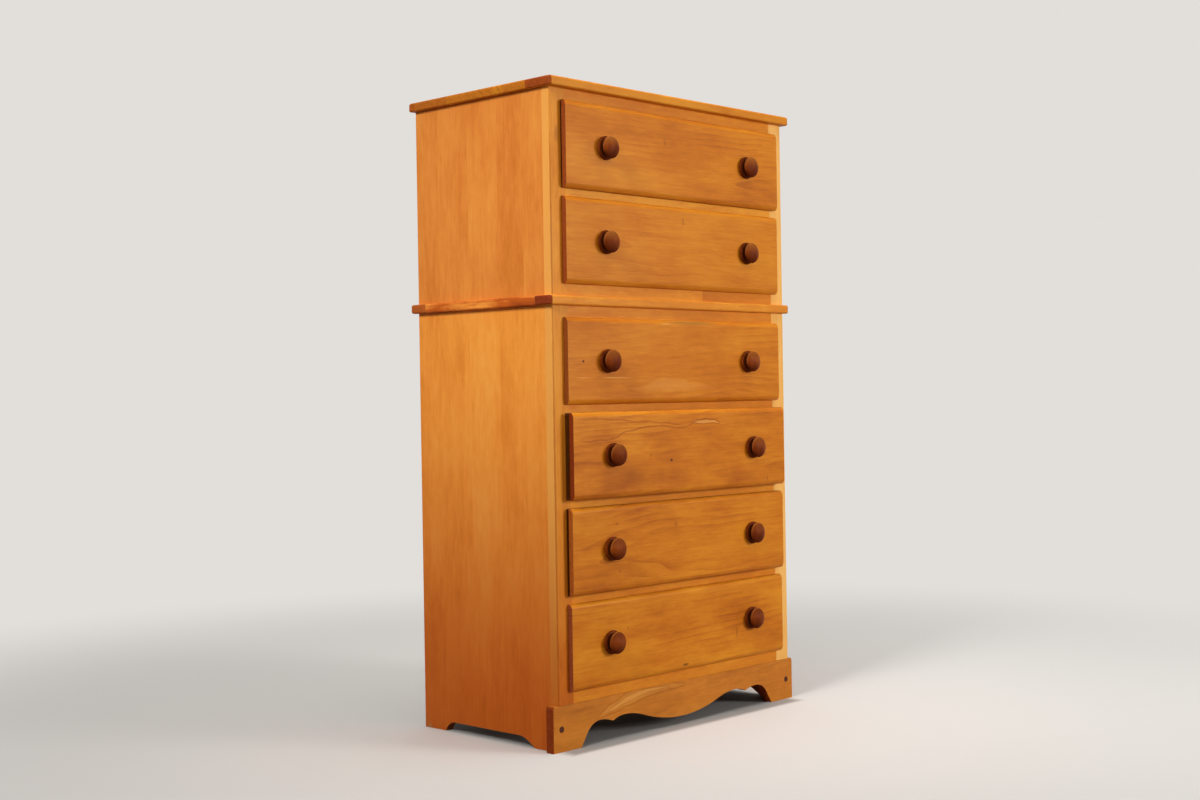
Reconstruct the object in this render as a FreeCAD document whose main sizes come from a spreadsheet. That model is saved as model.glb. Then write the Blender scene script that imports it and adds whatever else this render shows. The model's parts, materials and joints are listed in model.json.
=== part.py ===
"""Chest on chest in solid maple: a two-drawer case standing on a four-drawer case.

Frame: +Z up, the fronts face -Y, +X is to the right seen from the front. The origin lies on the
floor under the middle of everything, knobs and drawers as they stand included.
"""
import FreeCAD, Part
import math
import os
import re
import Sketcher

# ---------------------------------------------------------------- driving dimensions, millimetres
SIZES = {
    # the two cases
    "case_width": 737,          # over the side panels
    "case_depth": 402,          # from the face frame's front to the back
    "side_thickness": 19,
    "frame_thickness": 19,      # face frame and apron
    "stile_width": 43.5,
    "stile_round": 3,           # on the outer corner of a stile
    "tenon_thickness": 8,
    "tenon_length": 20,
    "tenon_shoulder": 6,        # above and below a rail's tenon
    "back_thickness": 6,        # plywood back panels
    "rabbet_width": 9.5,        # how far a back panel reaches into a side panel
    "back_slack": 0.5,
    "back_foot": 62,            # the lower back panel ends this far above the floor
    # the stack of fronts
    "front_height": 172.5,
    "rail_show": 16,            # the part of a rail seen between two fronts
    "end_reveal": 23.5,         # frame seen above the top front and below the bottom one
    "edge_lap": 9,              # a front covers its rails by this much
    "end_lap": 11.5,            # and its stiles by this much
    # top slab
    "slab_thickness": 19,
    "slab_front": 16.5,
    "slab_side": 11,
    "slab_back": 8,
    "slab_corner": 8,           # its front corners in plan
    "slab_round": 5,
    "slab_under_round": 3,
    # waist frame
    "waist_thickness": 19,
    "waist_rail": 44.5,
    "waist_front": 10,
    "waist_side": 12,
    "waist_back": 9.5,
    "waist_corner": 9,          # its front corners in plan
    "waist_round": 4,
    "tongue_length": 10,
    "tongue_thickness": 6.5,
    "tongue_shoulder": 9,
    # feet of the lower side panels
    "foot_front": 67,           # from the face frame's front to the end of the front foot
    "foot_front_run": 46,       # length of the curve behind it
    "foot_front_round": 50,
    "foot_back": 66,
    "foot_back_round": 31,
    "foot_arch": 20,
    # apron
    "apron_height": 91,
    "apron_ear": 14,            # how far it stands past a side panel
    "ear_round": 7,
    "apron_edge_round": 2.5,
    "drop_height": 17,          # lowest point of the middle drop
    "drop_turn": 120,           # places along the scallop, measured from the middle
    "inner_crest": 178,
    "inner_crest_height": 47.5,
    "cusp": 212.5,
    "cusp_height": 39.5,
    "outer_crest": 250,
    "outer_crest_height": 47,
    "outer_crest_radius": 44,
    "foot_inside": 304.5,
    "plug_radius": 6.5,
    "plug_depth": 8,
    "plug_height": 44.5,
    "plug_fit": 0.1,
    "screw_hole_radius": 2.25,
    # drawer runners
    "runner_reach": 25,         # how far a runner reaches in past the opening's edge
    "guide_rise": 30,
    # drawer fronts
    "lip_thickness": 10.5,
    "rebate_depth": 10,
    "thumb_depth": 6,           # the moulded long edges of a front
    "thumb_height": 11,
    "end_ease": 1.2,
    # drawer boxes
    "side_clearance": 1.6,
    "top_clearance": 4,
    "drawer_gap": 28,           # behind a closed drawer's box
    "side_board": 12,
    "back_board": 12,
    "back_inset": 12,
    "dado_depth": 4,
    "bottom_thickness": 6,
    "groove_rise": 8,
    "groove_depth": 5,
    "groove_slack": 0.3,
    "tail_wide": 19,
    "tail_narrow": 14,
    "tail_fit": 0.1,
    "board_round": 2,
    # knobs
    "knob_spacing": 448,
    "knob_length": 27,
    "flange_radius": 24.5,
    "flange_thickness": 5.5,
    "flange_bead": 1.6,
    "flange_slope": 1,          # from the flange's rim down to its neck
    "neck_front": 11.8,
    "neck_edge_radius": 12,
    "neck_waist": 2,
    "head_radius": 22.2,
    "head_bead": 3,
    "head_back": 13.6,
    "head_front": 20.5,
    "pilot_radius": 1.6,
    "pilot_depth": 16,
    # how far each drawer stands open
    "ajar_1": 3.5,
    "ajar_2": 1,
    "ajar_3": 0.5,
    "ajar_4": 12,
    "ajar_5": 6,
    "ajar_6": 0.5,
}
TAILS = 5           # dovetails at each front corner of a drawer
UPPER_DRAWERS = 2   # drawers are numbered from the top of the chest down
LOWER_DRAWERS = 4

# ---------------------------------------------------------------- places worked out from the sizes
FRONT = "(-(case_depth + waist_back - lip_thickness - knob_length - ajar_4) / 2)"
FRAME_BACK = f"({FRONT} + frame_thickness)"
BACK = f"({FRONT} + case_depth)"
BACK_PANEL = f"({BACK} - back_thickness)"
HALF = "(case_width / 2)"
INSIDE = "(case_width / 2 - side_thickness)"
OPENING = "(case_width / 2 - stile_width)"
PITCH = "(front_height + rail_show)"
END_RAIL = "(end_reveal + edge_lap)"
MIDDLE_RAIL = "(rail_show + 2 * edge_lap)"
LOWER_TOP = f"(apron_height + 2 * end_reveal + {LOWER_DRAWERS} * {PITCH} - rail_show)"
UPPER_BOTTOM = f"({LOWER_TOP} + waist_thickness)"
UPPER_TOP = f"({UPPER_BOTTOM} + 2 * end_reveal + {UPPER_DRAWERS} * {PITCH} - rail_show)"
FRONT_HALF = f"({OPENING} + end_lap)"
BOX = f"({OPENING} - side_clearance)"
BOX_INSIDE = f"({BOX} - side_board)"
BOX_HEIGHT = "(front_height - 2 * edge_lap - top_clearance)"
BOX_TOP = f"(edge_lap + {BOX_HEIGHT})"
PANEL_TOP = "(edge_lap + groove_rise + bottom_thickness)"
BOX_END = "(case_depth - back_thickness - drawer_gap)"
FAR_BACK = f"({BOX_END} - back_inset)"

doc = FreeCAD.newDocument("chest_on_chest")
sheet = doc.addObject("Spreadsheet::Sheet", "Sizes")
for row, (word, number) in enumerate(SIZES.items(), 1):
    sheet.set(f"A{row}", word)
    sheet.set(f"B{row}", str(number))
    sheet.setAlias(f"B{row}", word)
doc.recompute()
nodes = []


# ---------------------------------------------------------------- helpers
def number(text):
    """The value of an expression in the sheet's words."""
    return float(sheet.evalExpression(text))


def bind(thing, prop, text):
    """Tie a property to an expression in the sheet's words."""
    thing.setExpression(prop, re.sub(r"[a-z]\w*", lambda word: "Sizes." + word.group(), text))


def node(thing, name):
    """Name a finished sub-part."""
    thing.Label = name
    nodes.append(thing)
    return thing


def new_body(name):
    return doc.addObject("PartDesign::Body", name)


def origin_part(body, role):
    return next(part for part in body.Origin.OriginFeatures if part.Role == role)


def sketch_on(body, role, place="0"):
    """A sketch on one of the body's planes, moved along the plane's normal: X, -Y or Z."""
    sketch = body.newObject("Sketcher::SketchObject", body.Name + "_sketch")
    sketch.AttachmentSupport = [(origin_part(body, role), "")]
    sketch.MapMode = "FlatFace"
    bind(sketch, "AttachmentOffset.Base.z", place)
    return sketch


def side_sketch(body, x):
    """A sketch at X = x that shows +Y to the right and +Z up."""
    return sketch_on(body, "YZ_Plane", x)


def front_sketch(body, y):
    """A sketch at Y = y that shows +X to the right and +Z up."""
    return sketch_on(body, "XZ_Plane", f"-({y})")


def plan_sketch(body, z):
    """A sketch at Z = z that shows +X to the right and +Y up."""
    return sketch_on(body, "XY_Plane", z)


def hold(sketch, kind, where, text):
    """Add a constraint to a sketch and tie its value to an expression."""
    index = sketch.addConstraint(Sketcher.Constraint(kind, *where, number(text)))
    label = f"{kind}_{index}"
    sketch.renameConstraint(index, label)
    bind(sketch, "Constraints." + label, text)


def arc_between(start, end, radius, side):
    """The short arc from start to end with its centre on the left (1) or the right (-1)."""
    chord = end - start
    half = chord.Length / 2
    left = FreeCAD.Vector(-chord.y, chord.x, 0).normalize()
    centre = start + chord / 2 + left * (side * math.sqrt(max(radius ** 2 - half ** 2, 0)))
    first, last = (start, end) if side > 0 else (end, start)
    angles = [math.atan2(p.y - centre.y, p.x - centre.x) for p in (first, last)]
    return Part.ArcOfCircle(Part.Circle(centre, FreeCAD.Vector(0, 0, 1), radius), *angles)


def outline(sketch, corners, arcs=None, smooth=()):
    """Draw a closed outline.

    A corner's coordinate is an expression that holds it, or a number where the curves beside it
    settle it. An edge is straight unless arcs gives its side, its radius, whether the radius is held
    and where its centre is held from the left. The outline runs on without a kink at smooth corners.
    """
    arcs = arcs or {}
    points = [FreeCAD.Vector(*[number(c) if isinstance(c, str) else c for c in corner], 0)
              for corner in corners]
    count = len(corners)
    first = sketch.GeometryCount
    ends = []
    for i, start in enumerate(points):
        end = points[(i + 1) % count]
        if i in arcs:
            side, radius = arcs[i][:2]
            sketch.addGeometry(arc_between(start, end, number(radius), side), False)
            ends.append((1, 2) if side > 0 else (2, 1))
        else:
            sketch.addGeometry(Part.LineSegment(start, end), False)
            ends.append((1, 2))
    for i in range(count):
        before = (i - 1) % count
        kind = "Tangent" if i in smooth else "Coincident"
        joint = (first + before, ends[before][1], first + i, ends[i][0])
        sketch.addConstraint(Sketcher.Constraint(kind, *joint))
    for i, corner in enumerate(corners):
        for axis, coordinate in zip(("DistanceX", "DistanceY"), corner):
            if isinstance(coordinate, str):
                hold(sketch, axis, (-1, 1, first + i, ends[i][0]), coordinate)
    for i, (_, radius, radius_held, centre) in arcs.items():
        if radius_held:
            hold(sketch, "Radius", (first + i,), radius)
        if centre:
            hold(sketch, "DistanceX", (-1, 1, first + i, 3), centre)
    return sketch


def rectangle(sketch, left, right, low, high):
    return outline(sketch, [(left, low), (right, low), (right, high), (left, high)])


def circle(sketch, across, up, radius):
    place = FreeCAD.Vector(number(across), number(up), 0)
    index = sketch.addGeometry(Part.Circle(place, FreeCAD.Vector(0, 0, 1), number(radius)), False)
    hold(sketch, "DistanceX", (-1, 1, index, 3), across)
    hold(sketch, "DistanceY", (-1, 1, index, 3), up)
    hold(sketch, "Radius", (index,), radius)


def pad(body, sketch, length):
    """Raise a sketch along its plane's normal."""
    feature = body.newObject("PartDesign::Pad", body.Name + "_pad")
    feature.Profile = sketch
    bind(feature, "Length", length)
    body.Tip = feature
    return feature


def pocket(body, sketch, depth, along_normal=False):
    """Cut a sketch into the body, against its plane's normal unless told otherwise."""
    doc.recompute()
    before = body.Shape.Volume
    feature = body.newObject("PartDesign::Pocket", body.Name + "_pocket")
    feature.Profile = sketch
    feature.Reversed = along_normal
    bind(feature, "Length", depth)
    body.Tip = feature
    doc.recompute()
    if not body.Shape.Volume < before - 1:
        raise RuntimeError(f"{feature.Name} cuts nothing")
    return feature


def lies_at(edge, x=None, y=None, z=None):
    """Whether a whole edge lies at the given coordinates."""
    box = edge.BoundBox
    spans = ((x, box.XMin, box.XMax), (y, box.YMin, box.YMax), (z, box.ZMin, box.ZMax))
    return all(at is None or abs(low - at) + abs(high - at) < 0.001 for at, low, high in spans)


def fillet(body, radius, chosen):
    """Round the edges of the body that the test picks."""
    doc.recompute()
    base = body.Tip
    names = [f"Edge{i}" for i, edge in enumerate(base.Shape.Edges, 1) if chosen(edge)]
    if not names:
        raise RuntimeError(f"{body.Name} has no such edge to round")
    feature = body.newObject("PartDesign::Fillet", body.Name + "_fillet")
    feature.Base = (base, names)
    bind(feature, "Radius", radius)
    body.Tip = feature
    return feature


def repeat_up(body, features, distance, copies):
    """Repeat features upwards, the last copy at the given distance above the first."""
    if copies < 2:
        return
    feature = body.newObject("PartDesign::LinearPattern", body.Name + "_pattern")
    feature.Originals = features
    feature.Direction = (origin_part(body, "Z_Axis"), [""])
    bind(feature, "Length", distance)
    feature.Occurrences = copies
    body.Tip = feature


def mirror_across(source, name):
    """The right-hand twin of a left-hand piece."""
    twin = doc.addObject("Part::Mirroring", name)
    twin.Source = source
    twin.Base = FreeCAD.Vector(0, 0, 0)
    twin.Normal = FreeCAD.Vector(1, 0, 0)
    return twin


def group(name, pieces, **place):
    """Several pieces as one object, or a placed copy of one piece."""
    together = doc.addObject("Part::Compound", name)
    together.Links = pieces
    for axis, text in place.items():
        bind(together, "Placement.Base." + axis, text)
    return together


def block(name, left, right, near, far, low, high):
    """A plain board."""
    board = doc.addObject("Part::Box", name)
    bind(board, "Length", f"({right}) - ({left})")
    bind(board, "Width", f"({far}) - ({near})")
    bind(board, "Height", f"({high}) - ({low})")
    bind(board, "Placement.Base.x", left)
    bind(board, "Placement.Base.y", near)
    bind(board, "Placement.Base.z", low)
    return board


def front_bottom(drawer):
    """Height of the lower edge of a drawer's front."""
    if drawer > UPPER_DRAWERS:
        below = UPPER_DRAWERS + LOWER_DRAWERS - drawer
        return f"(apron_height + end_reveal + {below} * {PITCH})"
    return f"({UPPER_BOTTOM} + end_reveal + {UPPER_DRAWERS - drawer} * {PITCH})"


# ---------------------------------------------------------------- side and back panels
def back_rabbet(body, low, high):
    """The step along a side panel's rear edge that takes the back panel."""
    sketch = plan_sketch(body, low)
    rectangle(sketch, f"-({INSIDE} + rabbet_width)", f"-{INSIDE}", BACK_PANEL, BACK)
    pocket(body, sketch, f"{high} - {low}", along_normal=True)


def lower_side():
    """A side panel that reaches the floor on two feet with a low arch between them."""
    body = new_body("lower_left_side")
    heel = (f"{FRONT} + foot_front", "0")
    spring = (f"{FRONT} + foot_front + foot_front_run", "foot_arch")
    toe = (f"{BACK} - foot_back", "0")
    # the straight slope of the front foot touches the round above it at the leaving point
    radius = number("foot_front_round")
    across = number(spring[0]) - number(heel[0])
    below = radius - number("foot_arch")
    lean = math.atan2(below, across) + math.acos(radius / math.hypot(across, below))
    leave = (number(spring[0]) - radius * math.cos(lean), radius * math.sin(lean) - below)
    back_radius = number("foot_back_round")
    level = math.sqrt(back_radius ** 2 - (back_radius - number("foot_arch")) ** 2)
    landing = (number(toe[0]) - level, "foot_arch")
    corners = [(FRAME_BACK, "0"), heel, leave, spring, landing, toe,
               (BACK, "0"), (BACK, LOWER_TOP), (FRAME_BACK, LOWER_TOP)]
    arcs = {2: (-1, "foot_front_round", True, None), 4: (-1, "foot_back_round", True, None)}
    profile = outline(side_sketch(body, f"-{HALF}"), corners, arcs, smooth=(2, 3, 4))
    pad(body, profile, "side_thickness")
    back_rabbet(body, "0", LOWER_TOP)
    node(body, "lower_left_side")
    node(mirror_across(body, "lower_right_side"), "lower_right_side")


def upper_side():
    body = new_body("upper_left_side")
    profile = rectangle(side_sketch(body, f"-{HALF}"), FRAME_BACK, BACK, UPPER_BOTTOM, UPPER_TOP)
    pad(body, profile, "side_thickness")
    back_rabbet(body, UPPER_BOTTOM, UPPER_TOP)
    node(body, "upper_left_side")
    node(mirror_across(body, "upper_right_side"), "upper_right_side")


def back_panels():
    reach = f"({INSIDE} + rabbet_width - back_slack)"
    for name, low, high in (("lower_back_panel", "back_foot", LOWER_TOP),
                            ("upper_back_panel", UPPER_BOTTOM, UPPER_TOP)):
        node(block(name, f"-{reach}", reach, BACK_PANEL, BACK, low, high), name)


# ---------------------------------------------------------------- face frames
def stile(case, low, high, rails):
    """A left stile with a mortise for each rail, and its right-hand twin."""
    body = new_body(f"{case}_left_stile")
    face = rectangle(front_sketch(body, FRAME_BACK), f"-{HALF}", f"-{OPENING}", low, high)
    pad(body, face, "frame_thickness")
    mortises = side_sketch(body, f"-{OPENING}")
    near = f"{FRONT} + (frame_thickness - tenon_thickness) / 2"
    for foot, height in rails:
        rectangle(mortises, near, near + " + tenon_thickness",
                  f"{foot} + tenon_shoulder", f"{foot} + {height} - tenon_shoulder")
    pocket(body, mortises, "tenon_length")
    outer, face_y = -number(HALF), number(FRONT)
    fillet(body, "stile_round", lambda edge: lies_at(edge, x=outer, y=face_y))
    node(body, f"{case}_left_stile")
    node(mirror_across(body, f"{case}_right_stile"), f"{case}_right_stile")


def rail(name, foot, height, copies=1):
    """A face-frame rail with a tenon at each end, repeated upwards from drawer to drawer."""
    body = new_body(name)
    face = rectangle(front_sketch(body, FRAME_BACK), f"-{OPENING}", OPENING,
                     foot, f"{foot} + {height}")
    board = pad(body, face, "frame_thickness")
    reach = f"({OPENING} + tenon_length)"
    middle = f"{FRONT} + (frame_thickness + tenon_thickness) / 2"
    bar = rectangle(front_sketch(body, middle), f"-{reach}", reach,
                    f"{foot} + tenon_shoulder", f"{foot} + {height} - tenon_shoulder")
    tenons = pad(body, bar, "tenon_thickness")
    repeat_up(body, [board, tenons], f"{copies - 1} * {PITCH}", copies)
    node(body, name)


def face_frame(case, low, high, drawers, stile_foot):
    """The stiles and rails of one case."""
    first_middle = f"({low} + end_reveal + front_height - edge_lap)"
    top = f"({high} - {END_RAIL})"
    middles = [f"({first_middle} + {i} * {PITCH})" for i in range(drawers - 1)]
    rails = [(low, END_RAIL)] + [(foot, MIDDLE_RAIL) for foot in middles] + [(top, END_RAIL)]
    stile(case, stile_foot, high, rails)
    rail(f"{case}_bottom_rail", low, END_RAIL)
    name = f"{case}_middle_rail" + ("s" if len(middles) > 1 else "")
    rail(name, first_middle, MIDDLE_RAIL, copies=len(middles))
    rail(f"{case}_top_rail", top, END_RAIL)


def runners(case, low, high, drawers):
    """L-shaped runners with guides at every drawer and a kicker over the top one, on both sides."""
    body = new_body(f"{case}_left_runners")
    length = f"{BACK_PANEL} - {FRAME_BACK}"
    lip = f"-({OPENING} - runner_reach)"

    def runner(foot, height):
        tread = f"({foot} + {height})"
        section = outline(front_sketch(body, BACK_PANEL), [
            (f"-{INSIDE}", foot), (lip, foot), (lip, tread), (f"-{OPENING}", tread),
            (f"-{OPENING}", f"{tread} + guide_rise"), (f"-{INSIDE}", f"{tread} + guide_rise")])
        return pad(body, section, length)

    runner(low, END_RAIL)
    middle = runner(f"({low} + end_reveal + front_height - edge_lap)", MIDDLE_RAIL)
    repeat_up(body, [middle], f"{drawers - 2} * {PITCH}", drawers - 1)
    kicker = rectangle(front_sketch(body, BACK_PANEL), f"-{INSIDE}", lip,
                       f"{high} - {END_RAIL}", high)
    pad(body, kicker, length)
    right = mirror_across(body, f"{case}_right_runners")
    node(group(f"{case}_runners", [body, right]), f"{case}_runners")


# ---------------------------------------------------------------- apron
def apron():
    """The scalloped board across the feet: half an outline, mirrored in the middle."""
    body = new_body("apron")
    # the drop's round passes into the crest's on the line from its lowest point to the crest
    rise = "(inner_crest_height - drop_height)"
    turn_height = f"(drop_height + {rise} * drop_turn / inner_crest)"
    wave = sweep("inner_crest", rise)
    drop_radius = f"({wave} * drop_turn / inner_crest)"
    inner_crest_radius = f"({wave} - {drop_radius})"
    # the leg's straight slope touches the outer round
    radius = number("outer_crest_radius")
    along = number("foot_inside") - number("outer_crest")
    up = number("outer_crest_height") - radius
    turn = math.atan2(up, along) + math.acos(radius / math.hypot(along, up))
    leg_touch = (-number("outer_crest") - radius * math.cos(turn), up + radius * math.sin(turn))
    ear = f"-({HALF} + apron_ear)"
    corners = [("0", "drop_height"), ("-drop_turn", number(turn_height)),
               ("-inner_crest", "inner_crest_height"), ("-cusp", "cusp_height"),
               ("-outer_crest", "outer_crest_height"), leg_touch,
               ("-foot_inside", "0"), (ear, "0"), (ear, "apron_height - ear_round"),
               (f"{ear} + ear_round", "apron_height"), ("0", "apron_height")]
    arcs = {0: (-1, drop_radius, False, "0"),
            1: (1, inner_crest_radius, False, "-inner_crest"),
            2: (1, sweep("cusp - inner_crest", "inner_crest_height - cusp_height"), False, None),
            3: (1, sweep("outer_crest - cusp", "outer_crest_height - cusp_height"), False,
                "-outer_crest"),
            4: (1, "outer_crest_radius", True, None),
            8: (-1, "ear_round", True, None)}
    half = outline(front_sketch(body, FRAME_BACK), corners, arcs, smooth=(1, 2, 4, 5))
    board = pad(body, half, "frame_thickness")
    whole = body.newObject("PartDesign::Mirrored", "apron_mirrored")
    whole.Originals = [board]
    whole.MirrorPlane = (origin_part(body, "YZ_Plane"), [""])
    body.Tip = whole
    plug_x = f"({HALF} - side_thickness / 2)"
    for radius, depth in (("plug_radius", "plug_depth"), ("screw_hole_radius", "frame_thickness")):
        holes = front_sketch(body, FRONT)
        for side in ("-", ""):
            circle(holes, side + plug_x, "plug_height", radius)
        pocket(body, holes, depth)
    face_y, end = number(FRONT), abs(number(ear))
    shoulder = number("apron_height - ear_round")

    def front_rim(edge):
        middle = edge.CenterOfMass
        outside = abs(middle.x) > end - 0.001 or middle.z > shoulder
        return lies_at(edge, y=face_y) and outside
    fillet(body, "apron_edge_round", front_rim)
    node(body, "apron")
    plug = doc.addObject("Part::Cylinder", "left_plug")
    bind(plug, "Radius", "plug_radius - plug_fit")
    bind(plug, "Height", "plug_depth")
    plug.Placement.Rotation = FreeCAD.Rotation(FreeCAD.Vector(1, 0, 0), -90)
    bind(plug, "Placement.Base.x", "-" + plug_x)
    bind(plug, "Placement.Base.y", FRONT)
    bind(plug, "Placement.Base.z", "plug_height")
    node(group("apron_plugs", [plug, mirror_across(plug, "right_plug")]), "apron_plugs")


def sweep(reach, drop):
    """Radius of an arc that leaves a crest level and has dropped this much at this reach."""
    return f"(({reach}) ^ 2 + ({drop}) ^ 2) / (2 * ({drop}))"


# ---------------------------------------------------------------- waist frame and top slab
def front_rounded(sketch, reach, near, far, radius):
    """A rectangle in plan with its two front corners rounded."""
    inner, turn = f"({reach} - {radius})", f"({near} + {radius})"
    corners = [(f"-{reach}", turn), (f"-{inner}", near), (inner, near), (reach, turn),
               (reach, far), (f"-{reach}", far)]
    return outline(sketch, corners, {0: (1, radius, True, None), 2: (1, radius, True, None)})


def waist():
    """A frame of four rails between the cases, its outer edge standing proud all round."""
    reach = f"({HALF} + waist_side)"
    near, far = f"({FRONT} - waist_front)", f"({BACK} + waist_back)"
    inner_front, inner_back = f"({near} + waist_rail)", f"({far} - waist_rail)"
    inner_x = f"({reach} - waist_rail)"
    tongue_low = f"({LOWER_TOP} + (waist_thickness - tongue_thickness) / 2)"
    tongue_high = f"({tongue_low} + tongue_thickness)"
    tongue_out, tongue_in = f"({reach} - tongue_shoulder)", f"({inner_x} + tongue_shoulder)"
    bottom, top = number(LOWER_TOP), number(UPPER_BOTTOM)

    def cross_rail(body, plan, joint, joint_behind):
        """The front or the back rail: full width, with a mortise for each side rail's tongue."""
        pad(body, plan, "waist_thickness")
        mortises = front_sketch(body, joint)
        rectangle(mortises, f"-{tongue_out}", f"-{tongue_in}", tongue_low, tongue_high)
        rectangle(mortises, tongue_in, tongue_out, tongue_low, tongue_high)
        pocket(body, mortises, "tongue_length", along_normal=joint_behind)
        joint_y = number(joint)
        fillet(body, "waist_round", lambda edge: (lies_at(edge, z=bottom) or lies_at(edge, z=top))
               and not lies_at(edge, y=joint_y))
        node(body, body.Name)

    front = new_body("waist_front_rail")
    plan = front_rounded(plan_sketch(front, LOWER_TOP), reach, near, inner_front, "waist_corner")
    cross_rail(front, plan, inner_front, joint_behind=True)
    back = new_body("waist_back_rail")
    plan = rectangle(plan_sketch(back, LOWER_TOP), f"-{reach}", reach, inner_back, far)
    cross_rail(back, plan, inner_back, joint_behind=False)
    side = new_body("waist_left_rail")
    plan = rectangle(plan_sketch(side, LOWER_TOP), f"-{reach}", f"-{inner_x}",
                     inner_front, inner_back)
    pad(side, plan, "waist_thickness")
    tongue = rectangle(plan_sketch(side, tongue_low), f"-{tongue_out}", f"-{tongue_in}",
                       f"{inner_front} - tongue_length", f"{inner_back} + tongue_length")
    pad(side, tongue, "tongue_thickness")
    outer_x = -number(reach)
    fillet(side, "waist_round", lambda edge: lies_at(edge, x=outer_x, z=bottom)
           or lies_at(edge, x=outer_x, z=top))
    both = group("waist_side_rails", [side, mirror_across(side, "waist_right_rail")])
    node(both, "waist_side_rails")


def top_panel():
    """The slab on top, rounded at its front corners and along its edges."""
    body = new_body("top_panel")
    plan = front_rounded(plan_sketch(body, UPPER_TOP), f"({HALF} + slab_side)",
                         f"({FRONT} - slab_front)", f"({BACK} + slab_back)", "slab_corner")
    pad(body, plan, "slab_thickness")
    low, high = number(UPPER_TOP), number(f"{UPPER_TOP} + slab_thickness")
    fillet(body, "slab_round", lambda edge: lies_at(edge, z=high))
    fillet(body, "slab_under_round", lambda edge: lies_at(edge, z=low))
    node(body, "top_panel")


# ---------------------------------------------------------------- drawers, each drawn closed
# In a drawer's own frame Y = 0 is the face frame's front and Z = 0 the front's lower edge.
def tail_middle(i):
    return f"(edge_lap + {BOX_HEIGHT} * {(i + 0.5) / TAILS})"


def drawer_front():
    """A lipped front: moulded long edges, a rebate all round and sockets for the dovetails."""
    body = new_body("drawer_front")
    lip_edge = "-(lip_thickness - thumb_depth)"
    corners = [("0", "0"), (lip_edge, "0"), ("-lip_thickness", "thumb_height"),
               ("-lip_thickness", "front_height - thumb_height"), (lip_edge, "front_height"),
               ("0", "front_height")]
    thumb = sweep("thumb_height", "thumb_depth")
    section = outline(side_sketch(body, f"-{FRONT_HALF}"), corners,
                      {1: (-1, thumb, False, None), 3: (-1, thumb, False, None)}, smooth=(2, 3))
    pad(body, section, f"2 * {FRONT_HALF}")
    end_x, face_y = number(FRONT_HALF), -number("lip_thickness")
    fillet(body, "end_ease", lambda edge: lies_at(edge, x=end_x, y=face_y)
           or lies_at(edge, x=-end_x, y=face_y))
    inner = rectangle(front_sketch(body, "rebate_depth"), f"-{BOX}", BOX, "edge_lap", BOX_TOP)
    pad(body, inner, "rebate_depth")
    for edge_x, along_normal in ((f"-{BOX}", True), (BOX, False)):
        sockets = side_sketch(body, edge_x)
        for i in range(TAILS):
            middle = tail_middle(i)
            wide, narrow = "(tail_wide / 2 + tail_fit)", "(tail_narrow / 2 + tail_fit)"
            outline(sockets, [("0", f"{middle} - {wide}"), ("rebate_depth", f"{middle} - {narrow}"),
                              ("rebate_depth", f"{middle} + {narrow}"), ("0", f"{middle} + {wide}")])
        pocket(body, sockets, "side_board", along_normal=along_normal)
    reach = f"({BOX_INSIDE} + groove_depth)"
    groove = rectangle(front_sketch(body, "rebate_depth"), f"-{reach}", reach,
                       "edge_lap + groove_rise", f"{PANEL_TOP} + groove_slack")
    pocket(body, groove, "groove_depth", along_normal=True)
    holes = front_sketch(body, "rebate_depth")
    for side in ("-", ""):
        circle(holes, side + "knob_spacing / 2", "front_height / 2", "screw_hole_radius")
    pocket(body, holes, "rebate_depth + lip_thickness", along_normal=True)
    return body


def drawer_side():
    """A left drawer side: dovetails in front, a groove for the bottom and a dado for the back."""
    body = new_body("drawer_left_side")
    corners = [("rebate_depth", "edge_lap"), (BOX_END, "edge_lap"),
               (BOX_END, BOX_TOP), ("rebate_depth", BOX_TOP)]
    for i in reversed(range(TAILS)):
        middle = tail_middle(i)
        corners += [("rebate_depth", f"{middle} + tail_narrow / 2"),
                    ("tail_fit", f"{middle} + tail_wide / 2"),
                    ("tail_fit", f"{middle} - tail_wide / 2"),
                    ("rebate_depth", f"{middle} - tail_narrow / 2")]
    pad(body, outline(side_sketch(body, f"-{BOX}"), corners), "side_board")
    top, thickness = number(BOX_TOP), number("side_board")
    fillet(body, "board_round", lambda edge: lies_at(edge, z=top) and edge.BoundBox.YLength > thickness)
    groove = rectangle(side_sketch(body, f"-{BOX_INSIDE}"), "0", BOX_END,
                       "edge_lap + groove_rise", f"{PANEL_TOP} + groove_slack")
    pocket(body, groove, "groove_depth")
    dado = rectangle(side_sketch(body, f"-{BOX_INSIDE}"), f"{FAR_BACK} - back_board", FAR_BACK,
                     PANEL_TOP, BOX_TOP)
    pocket(body, dado, "dado_depth")
    return body


def knob():
    """A turned knob on the Y axis: flange, waisted neck, domed head and a pilot hole."""
    body = new_body("knob")
    flange = "(flange_radius - flange_bead)"
    rim = "(head_radius - head_bead)"
    corners = [("0", "pilot_radius"), ("0", flange), ("-flange_thickness", flange),
               ("-flange_thickness - flange_slope", "neck_edge_radius"), ("-neck_front", "neck_edge_radius"),
               ("-head_back", rim), ("-head_front", rim), ("-knob_length", "0"),
               ("-pilot_depth", "0"), ("-pilot_depth", "pilot_radius")]
    arcs = {1: (1, sweep("flange_thickness / 2", "flange_bead"), True, None),
            3: (-1, sweep("(neck_front - flange_thickness - flange_slope) / 2", "neck_waist"), True, None),
            5: (1, sweep("(head_front - head_back) / 2", "head_bead"), True, None),
            6: (1, sweep(rim, "knob_length - head_front"), True, None)}
    profile = outline(side_sketch(body, "0"), corners, arcs)
    turned = body.newObject("PartDesign::Revolution", "knob_turned")
    turned.Profile = profile
    turned.ReferenceAxis = (profile, ["H_Axis"])
    turned.Angle = 360
    body.Tip = turned
    return body


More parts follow.
